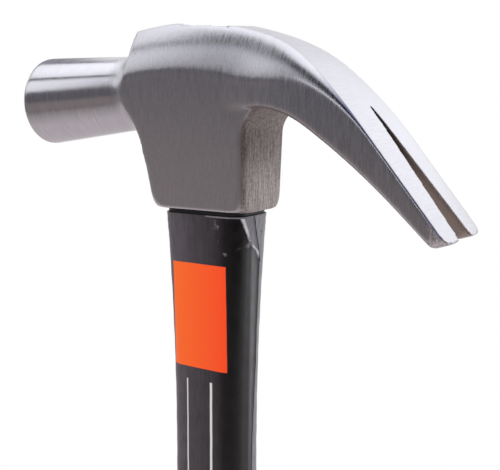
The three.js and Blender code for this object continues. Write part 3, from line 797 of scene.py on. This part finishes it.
# %% Roughness and height of the steel
GROUND, TURNED, TOP_GROUND, BLASTED, SLOT_ROUGH = 0.29, 0.2, 0.46, 0.6, 0.55
LINE_ROUGH = 0.07
LINE_HEIGHT, TURNED_HEIGHT, PIT_HEIGHT = 0.011 * MM, 0.004 * MM, 0.2 * MM
BELT_STRETCH = 0.6

line_rough = add(tree, "ShaderNodeMapRange", {
    "Value": lines, "To Min": -LINE_ROUGH, "To Max": LINE_ROUGH, **NOISE_RANGE,
}).outputs[0]
rough = coated(tree, GROUND, (where["poll"], TURNED), (where["top"], TOP_GROUND), kind="FLOAT")
rough = add(tree, "ShaderNodeMath", {0: rough, 1: line_rough}, operation="ADD").outputs[0]
rough = coated(tree, rough, (forged, BLASTED), (where["slot_wall"], SLOT_ROUGH), kind="FLOAT")
bump = add(tree, "ShaderNodeBump", {
    "Height": coated(tree, lines, (forged, pits), kind="FLOAT"), "Strength": 1.0,
    "Distance": coated(
        tree, LINE_HEIGHT, (forged, PIT_HEIGHT), (where["poll"], TURNED_HEIGHT), kind="FLOAT"
    ),
})
along_head = add(tree, "ShaderNodeVectorTransform", {
    0: (1.0, 0.0, 0.0),
}, vector_type="VECTOR", convert_from="OBJECT", convert_to="WORLD")
finish_material(tree, add(tree, "ShaderNodeBsdfPrincipled", {
    "Base Color": colour, "Metallic": 1.0, "Roughness": rough, "Normal": bump.outputs[0],
    "Anisotropic": BELT_STRETCH, "Tangent": along_head.outputs[0],
}))
forged_head.data.materials.append(ground_steel)

# %% [markdown]
# The handle is a fibreglass bar in a moulded black jacket. The jacket widens to nearly the size of
# the collar over its last 75 mm. The outlines of jacket, film and grip all follow it, each grown
# by its own clearance.

# %% The jacket
JACKET = (22.6 * MM, 16.4 * MM)
JACKET_TOP = (28 * MM, 18 * MM)
JACKET_CORNER = 4.8 * MM
JACKET_FLARE = 75 * MM
JACKET_START = 22 * MM
CORE = (19.2 * MM, 10.4 * MM)
CORE_CORNER = 5 * MM
CORE_START = 32 * MM
FIT_GAP = 0.3 * MM
JACKET_RINGS = 60


def jacket_size(height):
    """Length and width of the jacket, which opens towards its top."""
    opening = max(0, 1 - (HANDLE_LENGTH - height) / JACKET_FLARE) ** 2
    return [blend(low, high, opening) for low, high in zip(JACKET, JACKET_TOP)]


def jacket_outline(height, clearance=0):
    length, width = (size + 2 * clearance for size in jacket_size(height))
    return rounded_rectangle(length, width, JACKET_CORNER + clearance, 0, height)


def core_outline(height, clearance):
    length, width = (size + 2 * clearance for size in CORE)
    return rounded_rectangle(length, width, CORE_CORNER + clearance, 0, height)


def skin_smooth(made, angle=40):
    """Shades a piece smoothly, but keeps edges above the angle crisp."""
    for face in made.data.polygons:
        face.use_smooth = True
    made.data.set_sharp_from_angle(angle=math.radians(angle))


jacket_top = HANDLE_LENGTH - FIT_GAP
outlines = [
    jacket_outline(blend(JACKET_START, jacket_top, share)) for share in shares(JACKET_RINGS)
]
outlines += [core_outline(jacket_top, FIT_GAP), core_outline(CORE_START - FIT_GAP, FIT_GAP)]
jacket = object_from(loft(outlines), "jacket")
skin_smooth(jacket)
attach(jacket, "root")
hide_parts("handle_jacket")
print("jacket:", len(jacket.data.polygons), "faces")

# %% [markdown]
# The printed film is a tube that was slipped over the handle and shrunk with hot air. Where the
# jacket widens, the film has pulled tight over the corners and stands off the back, so a fold runs
# down the back from the near corner and turns into the seam. Two lines say where both lie. They are
# used twice: here they raise the film, and later they place its marks.

# %% Seam and fold of the film
# across the back of the handle and height above the butt, in millimetres
SEAM = (
    (-2.0, 275), (-0.3, 269.7), (2.3, 262.5), (2.9, 257), (3.0, 240), (3.1, 226), (1.7, 199),
    (1.2, 166),
)
FOLD = (
    (-7.3, 273.6), (-6.0, 270.8), (-4.8, 268.5), (-3.5, 266.3), (-1.8, 264.5), (0.6, 263.0),
    (1.9, 261.5), (2.6, 259),
)
FOLD_END = FOLD[-1][1]
SEAM_RIDGE, SEAM_HOLLOW, FOLD_RIDGE = (0.28, 0.35), (0.12, 0.5), (0.4, 0.7)
HOLLOW_ASIDE = 0.9
WAVES, GATHERS = 0.05, 0.1
GATHERED_FROM, GATHERED_TO = 262, 272
BACK_FROM, BACK_TO = 9 * MM, 11.5 * MM


def follow(line, height):
    """How far across the back a drawn line is at a height, in millimetres."""
    heights = [point[1] for point in line][::-1]
    return float(np.interp(height / MM, heights, [point[0] for point in line][::-1]))


def ridge(distance, size):
    height, width = size
    return height * math.exp(-((distance / width) ** 2))


def film_push(point):
    """How far fold, seam and waves push out a point of the film's outside."""
    along, across, height = (value / MM for value in point)
    # sines whose lengths don't fit each other, so that the waves never seem to repeat
    push = WAVES * math.sin(height * 0.61 + across * 0.35) * math.sin(height * 0.23 + along * 0.5)
    if along > 0:
        on_back = ease(point.x, BACK_FROM, BACK_TO)
        from_seam = across - follow(SEAM, point.z)
        push += on_back * ridge(from_seam, SEAM_RIDGE)
        push -= on_back * ridge(from_seam + HOLLOW_ASIDE, SEAM_HOLLOW)
        if height > FOLD_END:
            push += on_back * ridge(across - follow(FOLD, point.z), FOLD_RIDGE)
    gather = GATHERS * ease(height, GATHERED_FROM, GATHERED_TO)
    push += gather * math.sin(across * 2.1 + height * 0.9) * math.sin(height * 1.7 + along)
    return push * MM


print("the fold is", round(FOLD[0][1] - FOLD_END, 1), "mm high")

# %% [markdown]
# The film's outline is the jacket's once more, grown by its clearance, with points along the flats
# too, so that there is something to push. It could be one sheet with a thickness added afterwards,
# but then the ridges would show on its inside, where they would cut into the jacket. So the loops
# run up the outside, which is pushed, and down the inside, which isn't.

# %% The film
FILM = 0.35 * MM
FILM_TOP = 1.4 * MM
FILM_START = 165.6 * MM
FILM_RINGS, INSIDE_RINGS = 150, 30
CORNER_POINTS, FLAT_POINTS = 10, 30
BACK_X = 8 * MM
OFF_BACK = -20  # millimetres, further than any mark reaches


def dense_outline(height, clearance):
    """The jacket's outline with points along its flats too, as (point, outward) pairs."""
    length, width = (size + 2 * clearance for size in jacket_size(height))
    radius = JACKET_CORNER + clearance
    half_x, half_y = length / 2 - radius, width / 2 - radius
    points = []
    corners = ((half_x, half_y), (-half_x, half_y), (-half_x, -half_y), (half_x, -half_y))
    for quarter, corner in enumerate(corners):
        for share in shares(CORNER_POINTS):
            angle = QUARTER * (quarter + share)
            outward = Vector((math.cos(angle), math.sin(angle), 0))
            points.append((Vector((*corner, height)) + outward * radius, outward))
        here = points[-1][0]
        there = Vector((*corners[(quarter + 1) % 4], height)) + outward * radius
        for share in shares(FLAT_POINTS)[1:-1]:
            points.append((here.lerp(there, share), outward))
    return points


film_top = HANDLE_LENGTH - FILM_TOP
outlines = []
for share in shares(FILM_RINGS):
    pairs = dense_outline(blend(FILM_START, film_top, share), FIT_GAP + FILM)
    outlines.append([point + outward * film_push(point) for point, outward in pairs])
for share in shares(INSIDE_RINGS):
    pairs = dense_outline(blend(film_top, FILM_START, share), FIT_GAP)
    outlines.append([point for point, outward in pairs])
film = object_from(loft(outlines, closed_ends=False), "film")
skin_smooth(film, angle=60)
for name, line in (("seam", SEAM), ("fold", FOLD)):
    from_line = [
        vert.co.y / MM - follow(line, vert.co.z) if vert.co.x > BACK_X else OFF_BACK
        for vert in film.data.vertices
    ]
    film.data.attributes.new(name, "FLOAT", "POINT").data.foreach_set("value", from_line)
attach(film, "root")
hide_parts("label_sleeve")
print("film:", len(film.data.polygons), "faces")

# %% [markdown]
# The grip is soft black rubber. It swells for the palm, narrows to a waist and flares at the butt,
# and shallow grooves with rounded lips run round it so that it can't slip.

# %% Outlines and grooves of the grip
GRIP_LENGTH = 160 * MM
# height, length and width in millimetres
GRIP_PLACES = (
    (0, 37, 27.4), (8.8, 37, 27.4), (32, 30, 23.6), (83.2, 32.4, 25), (160, 27.4, 21.4),
)
GRIP_CORNER = 9.4 * MM
GRIP_LIP = 1.6 * MM
GROOVES, GROOVE_START, GROOVE_PITCH = 14, 42 * MM, 7 * MM
GROOVE_WIDTH, GROOVE_DEPTH = 2.6 * MM, 0.9 * MM


def grip_outline(height, inset=0):
    """The grip between the two places that a height lies between, drawn in by an inset."""
    for (start, *low), (end, *high) in zip(GRIP_PLACES, GRIP_PLACES[1:]):
        if height < end * MM:
            break
    share = ease(height, start * MM, end * MM)
    length, width = (blend(a, b, share) * MM - 2 * inset for a, b in zip(low, high))
    return rounded_rectangle(length, width, GRIP_CORNER - inset, 0, height)


def groove(height):
    """How deep a groove is at a height: a cosine that is level at its lips and its floor."""
    nearest = min(max(round((height - GROOVE_START) / GROOVE_PITCH), 0), GROOVES - 1)
    away = abs(height - GROOVE_START - nearest * GROOVE_PITCH) / (GROOVE_WIDTH / 2)
    return GROOVE_DEPTH * (1 + math.cos(math.pi * away)) / 2 if away < 1 else 0


print("deepest groove:", round(groove(GROOVE_START) / MM, 2), "mm")

# %% [markdown]
# The loops go round the butt's rounded edge, up the outside with its grooves, over the lip and
# straight down the inside, which leaves room for the jacket. The rings are half a millimetre apart,
# so that each groove has a few.

# %% The rubber grip
BUTT_EDGE = 4 * MM
GRIP_RINGS, EDGE_RINGS = 320, 8

outlines = []
for share in shares(EDGE_RINGS):
    turn = QUARTER * share
    height = BUTT_EDGE * (1 - math.cos(turn))
    outlines.append(grip_outline(height, BUTT_EDGE * (1 - math.sin(turn))))
for share in shares(GRIP_RINGS)[1:-1]:
    height = blend(BUTT_EDGE, GRIP_LENGTH - GRIP_LIP, share)
    outlines.append(grip_outline(height, groove(height)))
for share in shares(EDGE_RINGS):
    turn = QUARTER * share
    height = GRIP_LENGTH - GRIP_LIP * (1 - math.sin(turn))
    outlines.append(grip_outline(height, GRIP_LIP * (1 - math.cos(turn))))
outlines += [jacket_outline(GRIP_LENGTH, FIT_GAP), jacket_outline(JACKET_START - FIT_GAP, FIT_GAP)]
grip = object_from(loft(outlines), "grip")
skin_smooth(grip, angle=50)
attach(grip, "root")
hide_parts("rubber_grip")
print("grip:", len(grip.data.polygons), "faces")

# %% [markdown]
# The film is PVC, printed black and semi-gloss. Round the handle its black carries painted shading
# and reflection: grey towards the front of the near side and on the back, where the film mirrors
# the bright room, and darkest at the near corner. One coordinate runs round the handle, so a row of
# colours along it does this. Handling has left faint streaks along the handle.

# %% Black print with painted shading
AROUND = 21 * MM
# painted shading and reflection round the handle: grey where the film mirrors the bright room,
# black at the near corner
# millimetres of x + y, from the front of the near side round to the far side
FILM_SHADING_TONES = (
    (-20, "#5A545A"), (-12, "#443F44"), (-4, "#332F33"), (-0.5, "#171416"), (2.8, "#0A0809"),
    (7, "#030303"), (9.8, "#060606"), (11.6, "#181618"), (13, "#646267"), (18, "#48464A"),
)
STREAK_SIZE = (1.111, 1.111, 6.25)  # across and along the handle, in millimetres

printed_film, tree, place = new_material("printed_film")
x, y, z = add(tree, "ShaderNodeSeparateXYZ", {0: place}).outputs
to_side = add(tree, "ShaderNodeSeparateXYZ", {0: place.node.outputs["Normal"]}).outputs[1]
around = add(tree, "ShaderNodeMath", {0: x, 1: y}, operation="ADD").outputs[0]
row = add(tree, "ShaderNodeMapRange", {"Value": around, "From Min": -AROUND, "From Max": AROUND})
tones = add(tree, "ShaderNodeValToRGB", {"Fac": row.outputs[0]})
for millimetres, code in FILM_SHADING_TONES:
    tones.color_ramp.elements.new((millimetres * MM + AROUND) / (2 * AROUND)).color = linear(code)
for end in (0, -1):
    tones.color_ramp.elements[end].color = linear(FILM_SHADING_TONES[end][1])
streak_place = add(tree, "ShaderNodeMapping", {
    "Vector": place, "Scale": [1 / (size * MM) for size in STREAK_SIZE],
})
streaks = add(tree, "ShaderNodeTexNoise", {
    "Vector": streak_place.outputs[0], "Scale": 1.0, "Detail": 4.0, "Roughness": 0.7,
}).outputs["Fac"]
streak_level = add(tree, "ShaderNodeMapRange", {
    "Value": streaks, "From Min": 0.35, "From Max": 0.65, "To Min": 0.82, "To Max": 1.18,
}).outputs[0]
print("tones round the film:", len(FILM_SHADING_TONES))

# %% [markdown]
# On the back the film is painted grey past the seam and on the gathered film above the fold: a
# painted reflection of the bright room, which that face mirrors. A pale painted highlight runs
# along the fold itself, and grey painted highlights lie on the crinkles and along the cut hem. Each
# mark is a zone with its colour. The masks use the distances from seam and fold that every vertex
# carries.

# %% Painted reflection and highlights on the film
CRINKLE_SIZE, DUST_SIZE = 7.692 * MM, 1.111 * MM
# painted reflection on the film's back, and painted highlights on the fold, the crinkles and the
# hem
BACK_REFLECTION_GREY, GATHERED_REFLECTION_GREY, FOLD_HIGHLIGHT = "#88878E", "#78767E", "#CCCAD2"
CRINKLE_HIGHLIGHT, HEM_HIGHLIGHT, SEAM_CREASE_SHADE = "#6E6A70", "#77737A", "#0C0A0C"

crinkle = add(tree, "ShaderNodeTexNoise", {
    "Vector": place, "Scale": 1 / CRINKLE_SIZE, "Detail": 5.0, "Roughness": 0.55,
    "Distortion": 0.6,
}).outputs["Fac"]
dust = add(tree, "ShaderNodeTexNoise", {
    "Vector": place, "Scale": 1 / DUST_SIZE, "Detail": 3.0,
}).outputs["Fac"]
seam, fold = (
    add(tree, "ShaderNodeAttribute", {}, attribute_name=name).outputs["Fac"]
    for name in ("seam", "fold")
)
above_fold = (z, 260 * MM, 262 * MM)
# grey painted reflection and painted highlights, each with its zone
film_painted_light = (
    (BACK_REFLECTION_GREY, ((seam, 0.5, 1.0), (x, 9 * MM, 10 * MM))),
    (GATHERED_REFLECTION_GREY, ((fold, -0.2, 0.2), (seam, 0.0, -0.4), above_fold)),
    (FOLD_HIGHLIGHT, (*strip_of(fold, -0.7, 1.0, 0.5), above_fold, (x, 11 * MM, 13 * MM))),
    (CRINKLE_HIGHLIGHT, ((crinkle, 0.6, 0.66), above_fold, (x, 4 * MM, 7 * MM))),
    (HEM_HIGHLIGHT, ((z, film_top - 0.5 * MM, film_top - 0.35 * MM), (x, 2 * MM, 3 * MM))),
)
film_tone = coated(tree, tones.outputs["Color"], *(
    (zone(tree, *bands), linear(code)) for code, bands in film_painted_light
))
film_tone = add(tree, "ShaderNodeVectorMath", {
    0: film_tone, "Scale": streak_level,
}, operation="SCALE").outputs[0]
# painted shade: a dark line in the crease along the seam
crease_shade = zone(tree, *strip_of(seam, -0.35, 0.35, 0.25))
film_tone = coated(tree, film_tone, (crease_shade, linear(SEAM_CREASE_SHADE)))
print("marks on the film:", len(film_painted_light) + 1)

# %% [markdown]
# Over the black lie a bare orange panel, a little redder towards the back of the handle, and two
# plain pale lines. They are flat ink on the near side only, so a zone that looks at the way the
# surface faces keeps them off the far side.

# %% Panel and lines
CRINKLE_HEIGHT = 0.25 * MM
PANEL_X = (-10.1 * MM, 9.5 * MM)
PANEL_Z = (225.8 * MM, 258.7 * MM)
LINES_X = ((-5.2 * MM, -4.6 * MM), (3.4 * MM, 4.4 * MM))
LINES_Z = (172 * MM, 222 * MM)
INK_EDGE = 0.15 * MM
ORANGE, ORANGE_DEEP, PALE_LINE = "#FF6A1A", "#FF4808", "#D8D6D6"
FILM_IOR = 1.4  # PVC has 1.53, but the scuffed film mirrors less than that

near_side = (to_side, -0.5, -0.501)  # nearly no blur, since the panel ends before the corner
redder = zone(tree, (x, *PANEL_X))
orange = coated(tree, linear(ORANGE), (redder, linear(ORANGE_DEEP)))
prints = [(PANEL_X, PANEL_Z, orange)]
prints += [(sides, LINES_Z, linear(PALE_LINE)) for sides in LINES_X]
colour = coated(tree, film_tone, *(
    (zone(tree, *strip_of(x, *sides, INK_EDGE), *strip_of(z, *ends, INK_EDGE), near_side), ink)
    for sides, ends, ink in prints
))
film_rough = add(tree, "ShaderNodeMapRange", {"Value": dust, "To Min": 0.26, "To Max": 0.42})
bump = add(tree, "ShaderNodeBump", {"Height": crinkle, "Strength": 0.5, "Distance": CRINKLE_HEIGHT})
finish_material(tree, add(tree, "ShaderNodeBsdfPrincipled", {
    "Base Color": colour, "Roughness": film_rough.outputs[0], "IOR": FILM_IOR,
    "Normal": bump.outputs[0],
}))
film.data.materials.append(printed_film)

# %% [markdown]
# The other materials of the handle differ less. The jacket is polypropylene and the grip a soft
# rubber, both black with carbon: the jacket has the fine texture of a spark-eroded mould, and the
# rubber is matt with a coarser one. The resin in the eye is epoxy that has cured with a slightly
# wavy top, and the cut end of the fibreglass shows its strands as pale dots.

# %% Mouldings, resin and fibreglass
STRAND = 0.8 * MM  # coarser than real bundles of glass, which wouldn't show


def moulding(name, code, rough, grain, depth, ior):
    """A moulded or cast surface: one colour, with a grain in its height and its roughness."""
    material, tree, place = new_material(name)
    noise = add(tree, "ShaderNodeTexNoise", {"Vector": place, "Scale": 1 / grain, "Detail": 4.0})
    roughness = add(tree, "ShaderNodeMapRange", {
        "Value": noise.outputs["Fac"], "To Min": rough[0], "To Max": rough[1], **NOISE_RANGE,
    })
    bump = add(tree, "ShaderNodeBump", {"Height": noise.outputs["Fac"], "Distance": depth})
    shader = add(tree, "ShaderNodeBsdfPrincipled", {
        "Base Color": linear(code), "Roughness": roughness.outputs[0], "IOR": ior,
        "Normal": bump.outputs[0],
    })
    finish_material(tree, shader)
    return material, tree, place, shader


jacket_plastic = moulding("moulded_jacket", "#1B1A1C", (0.38, 0.5), 0.6 * MM, 0.02 * MM, 1.49)[0]
grip_rubber = moulding("ribbed_rubber", "#19191A", (0.62, 0.8), 0.9 * MM, 0.06 * MM, 1.52)[0]
cast_resin = moulding("cast_resin", "#2B2523", (0.25, 0.4), 5 * MM, 0.15 * MM, 1.55)[0]
cut_fibreglass, tree, place, shader = moulding(
    "cut_fibreglass", "#CDBB86", (0.5, 0.7), 0.5 * MM, 0.03 * MM, 1.55
)
strands = add(tree, "ShaderNodeTexVoronoi", {"Vector": place, "Scale": 1 / STRAND})
between_strands = zone(tree, (strands.outputs["Distance"], 0.2, 0.6))
strand_colour = coated(tree, linear("#E2D5A8"), (between_strands, linear("#A08D58")))
tree.links.new(strand_colour, shader.inputs["Base Color"])

jacket.data.materials.append(jacket_plastic)
grip.data.materials.append(grip_rubber)
for node_name, material in (("resin_fill", cast_resin), ("fibreglass_core", cut_fibreglass)):
    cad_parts[node_name].data.materials.clear()
    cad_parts[node_name].data.materials.append(material)
print("materials:", sorted(material.name for material in bpy.data.materials))

# %% [markdown]
# The studio is a round white paper table with white all round it. Two long soft boxes hang over
# the table, and their mirror image is the pair of white bands on the poll. A third stands behind
# and lights the top of the claw. Everything is sized so that a colour renders about as it is
# written.

# %% Soft boxes
LAMP_COLOUR = (0.88, 0.9, 1.0)
LAMP_DISTANCE = 1.2
STRIP_LENGTH = 2.6
BACK_BOX_SIZE = 0.9
HEAD_MIDDLE = Vector((0, 0, HANDLE_LENGTH + NECK_HEIGHT))


def soft_box(name, direction, length, width, radiance):
    """A rectangular lamp of even radiance that faces the head and lies along its length."""
    lamp = bpy.data.lights.new(name, "AREA")
    lamp.shape = "RECTANGLE"
    lamp.color = LAMP_COLOUR
    lamp.size, lamp.size_y = length, width
    lamp.energy = radiance * math.pi * length * width
    made = bpy.data.objects.new(name, lamp)
    toward = Vector(direction).normalized()
    along = (Vector((1, 0, 0)) - toward * toward.x).normalized()
    turned_to = Matrix((along, toward.cross(along), toward)).transposed().to_4x4()
    made.matrix_world = Matrix.Translation(HEAD_MIDDLE + toward * LAMP_DISTANCE) @ turned_to
    made.visible_camera = False
    bpy.context.scene.collection.objects.link(made)
    print(name, round(lamp.energy, 2), "W")


def strip_box(name, lowest, highest, radiance):
    """A soft box along the head between two angles, from 0 in front to 90 overhead."""
    middle, half = math.radians((lowest + highest) / 2), math.radians((highest - lowest) / 2)
    direction = (0, -math.cos(middle), math.sin(middle))
    soft_box(name, direction, STRIP_LENGTH, 2 * LAMP_DISTANCE * math.tan(half), radiance)


strip_box("front_strip", 24, 60, 0.65)
strip_box("top_strip", 60, 116, 0.75)
soft_box("back_box", (0.25, 0.82, 0.5), BACK_BOX_SIZE, BACK_BOX_SIZE, 0.55)

# %% [markdown]
# To the camera the world is the white background, and the steel mirrors the same white. To matt
# surfaces it is a softer fill. Light Path tells which kind of ray is asking.

# %% The room
ROOM_FILL = 0.85
WHITE = (1, 1, 1, 1)


def seen_or_mirrored(tree):
    """White for a ray from the camera, also after a mirror or glass has turned it."""
    ray = tree.nodes.new("ShaderNodeLightPath")
    seen = ray.outputs["Is Camera Ray"]
    for kind in ("Is Glossy Ray", "Is Transmission Ray"):
        seen = add(
            tree, "ShaderNodeMath", {0: seen, 1: ray.outputs[kind]}, operation="MAXIMUM"
        ).outputs[0]
    return seen


world = bpy.data.worlds.new("studio")
bpy.context.scene.world = world
world.use_nodes = True
tree = world.node_tree
tree.nodes.clear()
level = coated(tree, ROOM_FILL, (seen_or_mirrored(tree), 1.0), kind="FLOAT")
background = add(tree, "ShaderNodeBackground", {"Color": WHITE, "Strength": level})
add(tree, "ShaderNodeOutputWorld", {"Surface": background.outputs[0]})
print("fill of the room:", ROOM_FILL)

# %% [markdown]
# The table is white paper. Far from the tool it reads as the background, because it gives its own
# white to the camera there, and near the tool the paper shows the shadow.

# %% The table
TABLE_RADIUS, TABLE_SIDES = 0.6, 128
SHADOW_INNER, SHADOW_OUTER = 0.15, 0.36
NEAR_WHITE = 0.5
PAPER = "#CFC6C4"

bm = bmesh.new()
bmesh.ops.create_circle(bm, cap_ends=True, segments=TABLE_SIDES, radius=TABLE_RADIUS)
table = object_from(bm, "table")
table_paper, tree, place = new_material("table_paper")
distance = add(tree, "ShaderNodeVectorMath", {0: place}, operation="LENGTH")
whiter = add(tree, "ShaderNodeMapRange", {
    "Value": distance.outputs["Value"], "From Min": SHADOW_INNER, "From Max": SHADOW_OUTER,
    "To Min": NEAR_WHITE, "To Max": 1.0,
})
share = add(tree, "ShaderNodeMath", {
    0: seen_or_mirrored(tree), 1: whiter.outputs[0],
}, operation="MULTIPLY")
paper = add(tree, "ShaderNodeBsdfDiffuse", {"Color": linear(PAPER)})
white = add(tree, "ShaderNodeEmission", {"Color": WHITE, "Strength": 1.0})
finish_material(tree, add(tree, "ShaderNodeMixShader", {
    0: share.outputs[0], 1: paper.outputs[0], 2: white.outputs[0],
}))
table.data.materials.append(table_paper)

# %% [markdown]
# A mirror-like thing in an all-white tent has no shape, so photographers stand cards round it. Here
# two grey ones hang at the front edge of the table and give the cheek and the side of the claw
# their dark grey. One lies on the table and one closes each side. A paper screen hangs before the
# front soft box, so that its band of light on the shoulder is duller than that on the poll. The
# black gap card hangs nearer, about where the two soft boxes meet. It is wider over the claw, and
# it draws the dark line along the poll and the shoulder. The last card hangs behind the poll. Only
# mirror rays meet the cards, so they take no light away.

# %% Grey cards
CARD_LEFT, CARD_SPLIT, CARD_RIGHT = -1.3, -0.34, 0.55
FRONT_EDGE, BACK_EDGE = -0.6, 0.6
GAP_DISTANCE, SCREEN_DISTANCE = 0.9, 1.05


def card(name, corners, colour, far_colour=None, axis="Z", fade=(0, 1)):
    """A sheet of one colour, or of two that fade into each other along an axis."""
    bm = bmesh.new()
    bmesh.ops.contextual_create(bm, geom=add_loop(bm, corners))
    made = object_from(bm, name)
    material, tree, place = new_material(name)
    tone = linear(colour)
    if far_colour:
        along = add(tree, "ShaderNodeSeparateXYZ", {0: place}).outputs[axis]
        tone = coated(tree, tone, (zone(tree, (along, *fade)), linear(far_colour)))
    finish_material(tree, add(tree, "ShaderNodeEmission", {"Color": tone}))
    made.data.materials.append(material)
    made.visible_camera = made.visible_diffuse = made.visible_shadow = False


def at_front(*outline):
    """Corners of a card at the front edge of the table, from (x, height)."""
    return [(x, FRONT_EDGE, height) for x, height in outline]


def upright(near, far, height):
    """Corners of a card that stands on the table between two of its points."""
    return [(*near, 0), (*far, 0), (*far, height), (*near, height)]


def hung(distance, *outline):
    """Corners of a card over the table, from (x, angle), 0 in front of the head to 90 over it."""
    corners = []
    for x, angle in outline:
        turn = math.radians(angle)
        reach = Vector((x, -distance * math.cos(turn), distance * math.sin(turn)))
        corners.append(HEAD_MIDDLE + reach)
    return corners

# %% [markdown]
# The outlines of the cards were found by following the picture's bands back: each pixel of the
# steel mirrors one place in the room, so the edge of a band gives the edge of a card.

# %% Placing the cards
card("front_card", at_front(
    (CARD_LEFT, 0), (CARD_SPLIT, 0), (CARD_SPLIT, 0.7), (-0.4, 0.72), (-0.51, 0.74),
    (-0.56, 0.53), (CARD_LEFT, 0.53),
), "#968D8B", "#706E73", fade=(0.21, 0.275))
card("claw_card", at_front(
    (CARD_SPLIT, 0), (CARD_RIGHT, 0), (CARD_RIGHT, 0.5), (-0.2, 0.54), (CARD_SPLIT, 0.7),
), "#857D7C", "#68666B", fade=(0.17, 0.27))
card("lying_card", [
    (CARD_LEFT, FRONT_EDGE, MM), (CARD_RIGHT, FRONT_EDGE, MM),
    (CARD_RIGHT, BACK_EDGE, MM), (CARD_LEFT, BACK_EDGE, MM),
], "#807978", "#D6CED0", "Y", (FRONT_EDGE, -0.1))
card("left_card", upright((CARD_LEFT, FRONT_EDGE), (CARD_LEFT, BACK_EDGE), 0.6), "#96969C")
card("right_card", upright((CARD_RIGHT, FRONT_EDGE), (CARD_RIGHT + 0.3, 0.2), 0.85), "#3A3838")
card("paper_screen", hung(
    SCREEN_DISTANCE, (-0.77, 28), (0.6, 28), (0.6, 62), (-0.77, 62),
), "#94949E", "#D4D4DE", fade=(0.84, 1.0))
card("gap_card", hung(
    GAP_DISTANCE, (-1.2, 52), (-0.8, 53), (-0.73, 56), (-0.66, 53), (-0.5, 54), (-0.4, 56),
    (-0.3, 48), (-0.05, 33), (0.6, 38), (1.4, 36),
    (1.4, 88), (0.6, 76), (-0.05, 61), (-0.3, 73), (-0.4, 81), (-0.5, 78), (-0.66, 60.5),
    (-0.73, 59), (-0.8, 61.5), (-1.2, 60.5),
), "#0E0E12")
card("back_card", hung(
    GAP_DISTANCE, (-1.5, 113), (-0.74, 113), (-0.74, 176), (-1.5, 176),
), "#8A8A94")

# %% [markdown]
# A plain display setting shows each colour as it was written.

# %% Colour as written
bpy.context.scene.view_settings.view_transform = "Standard"
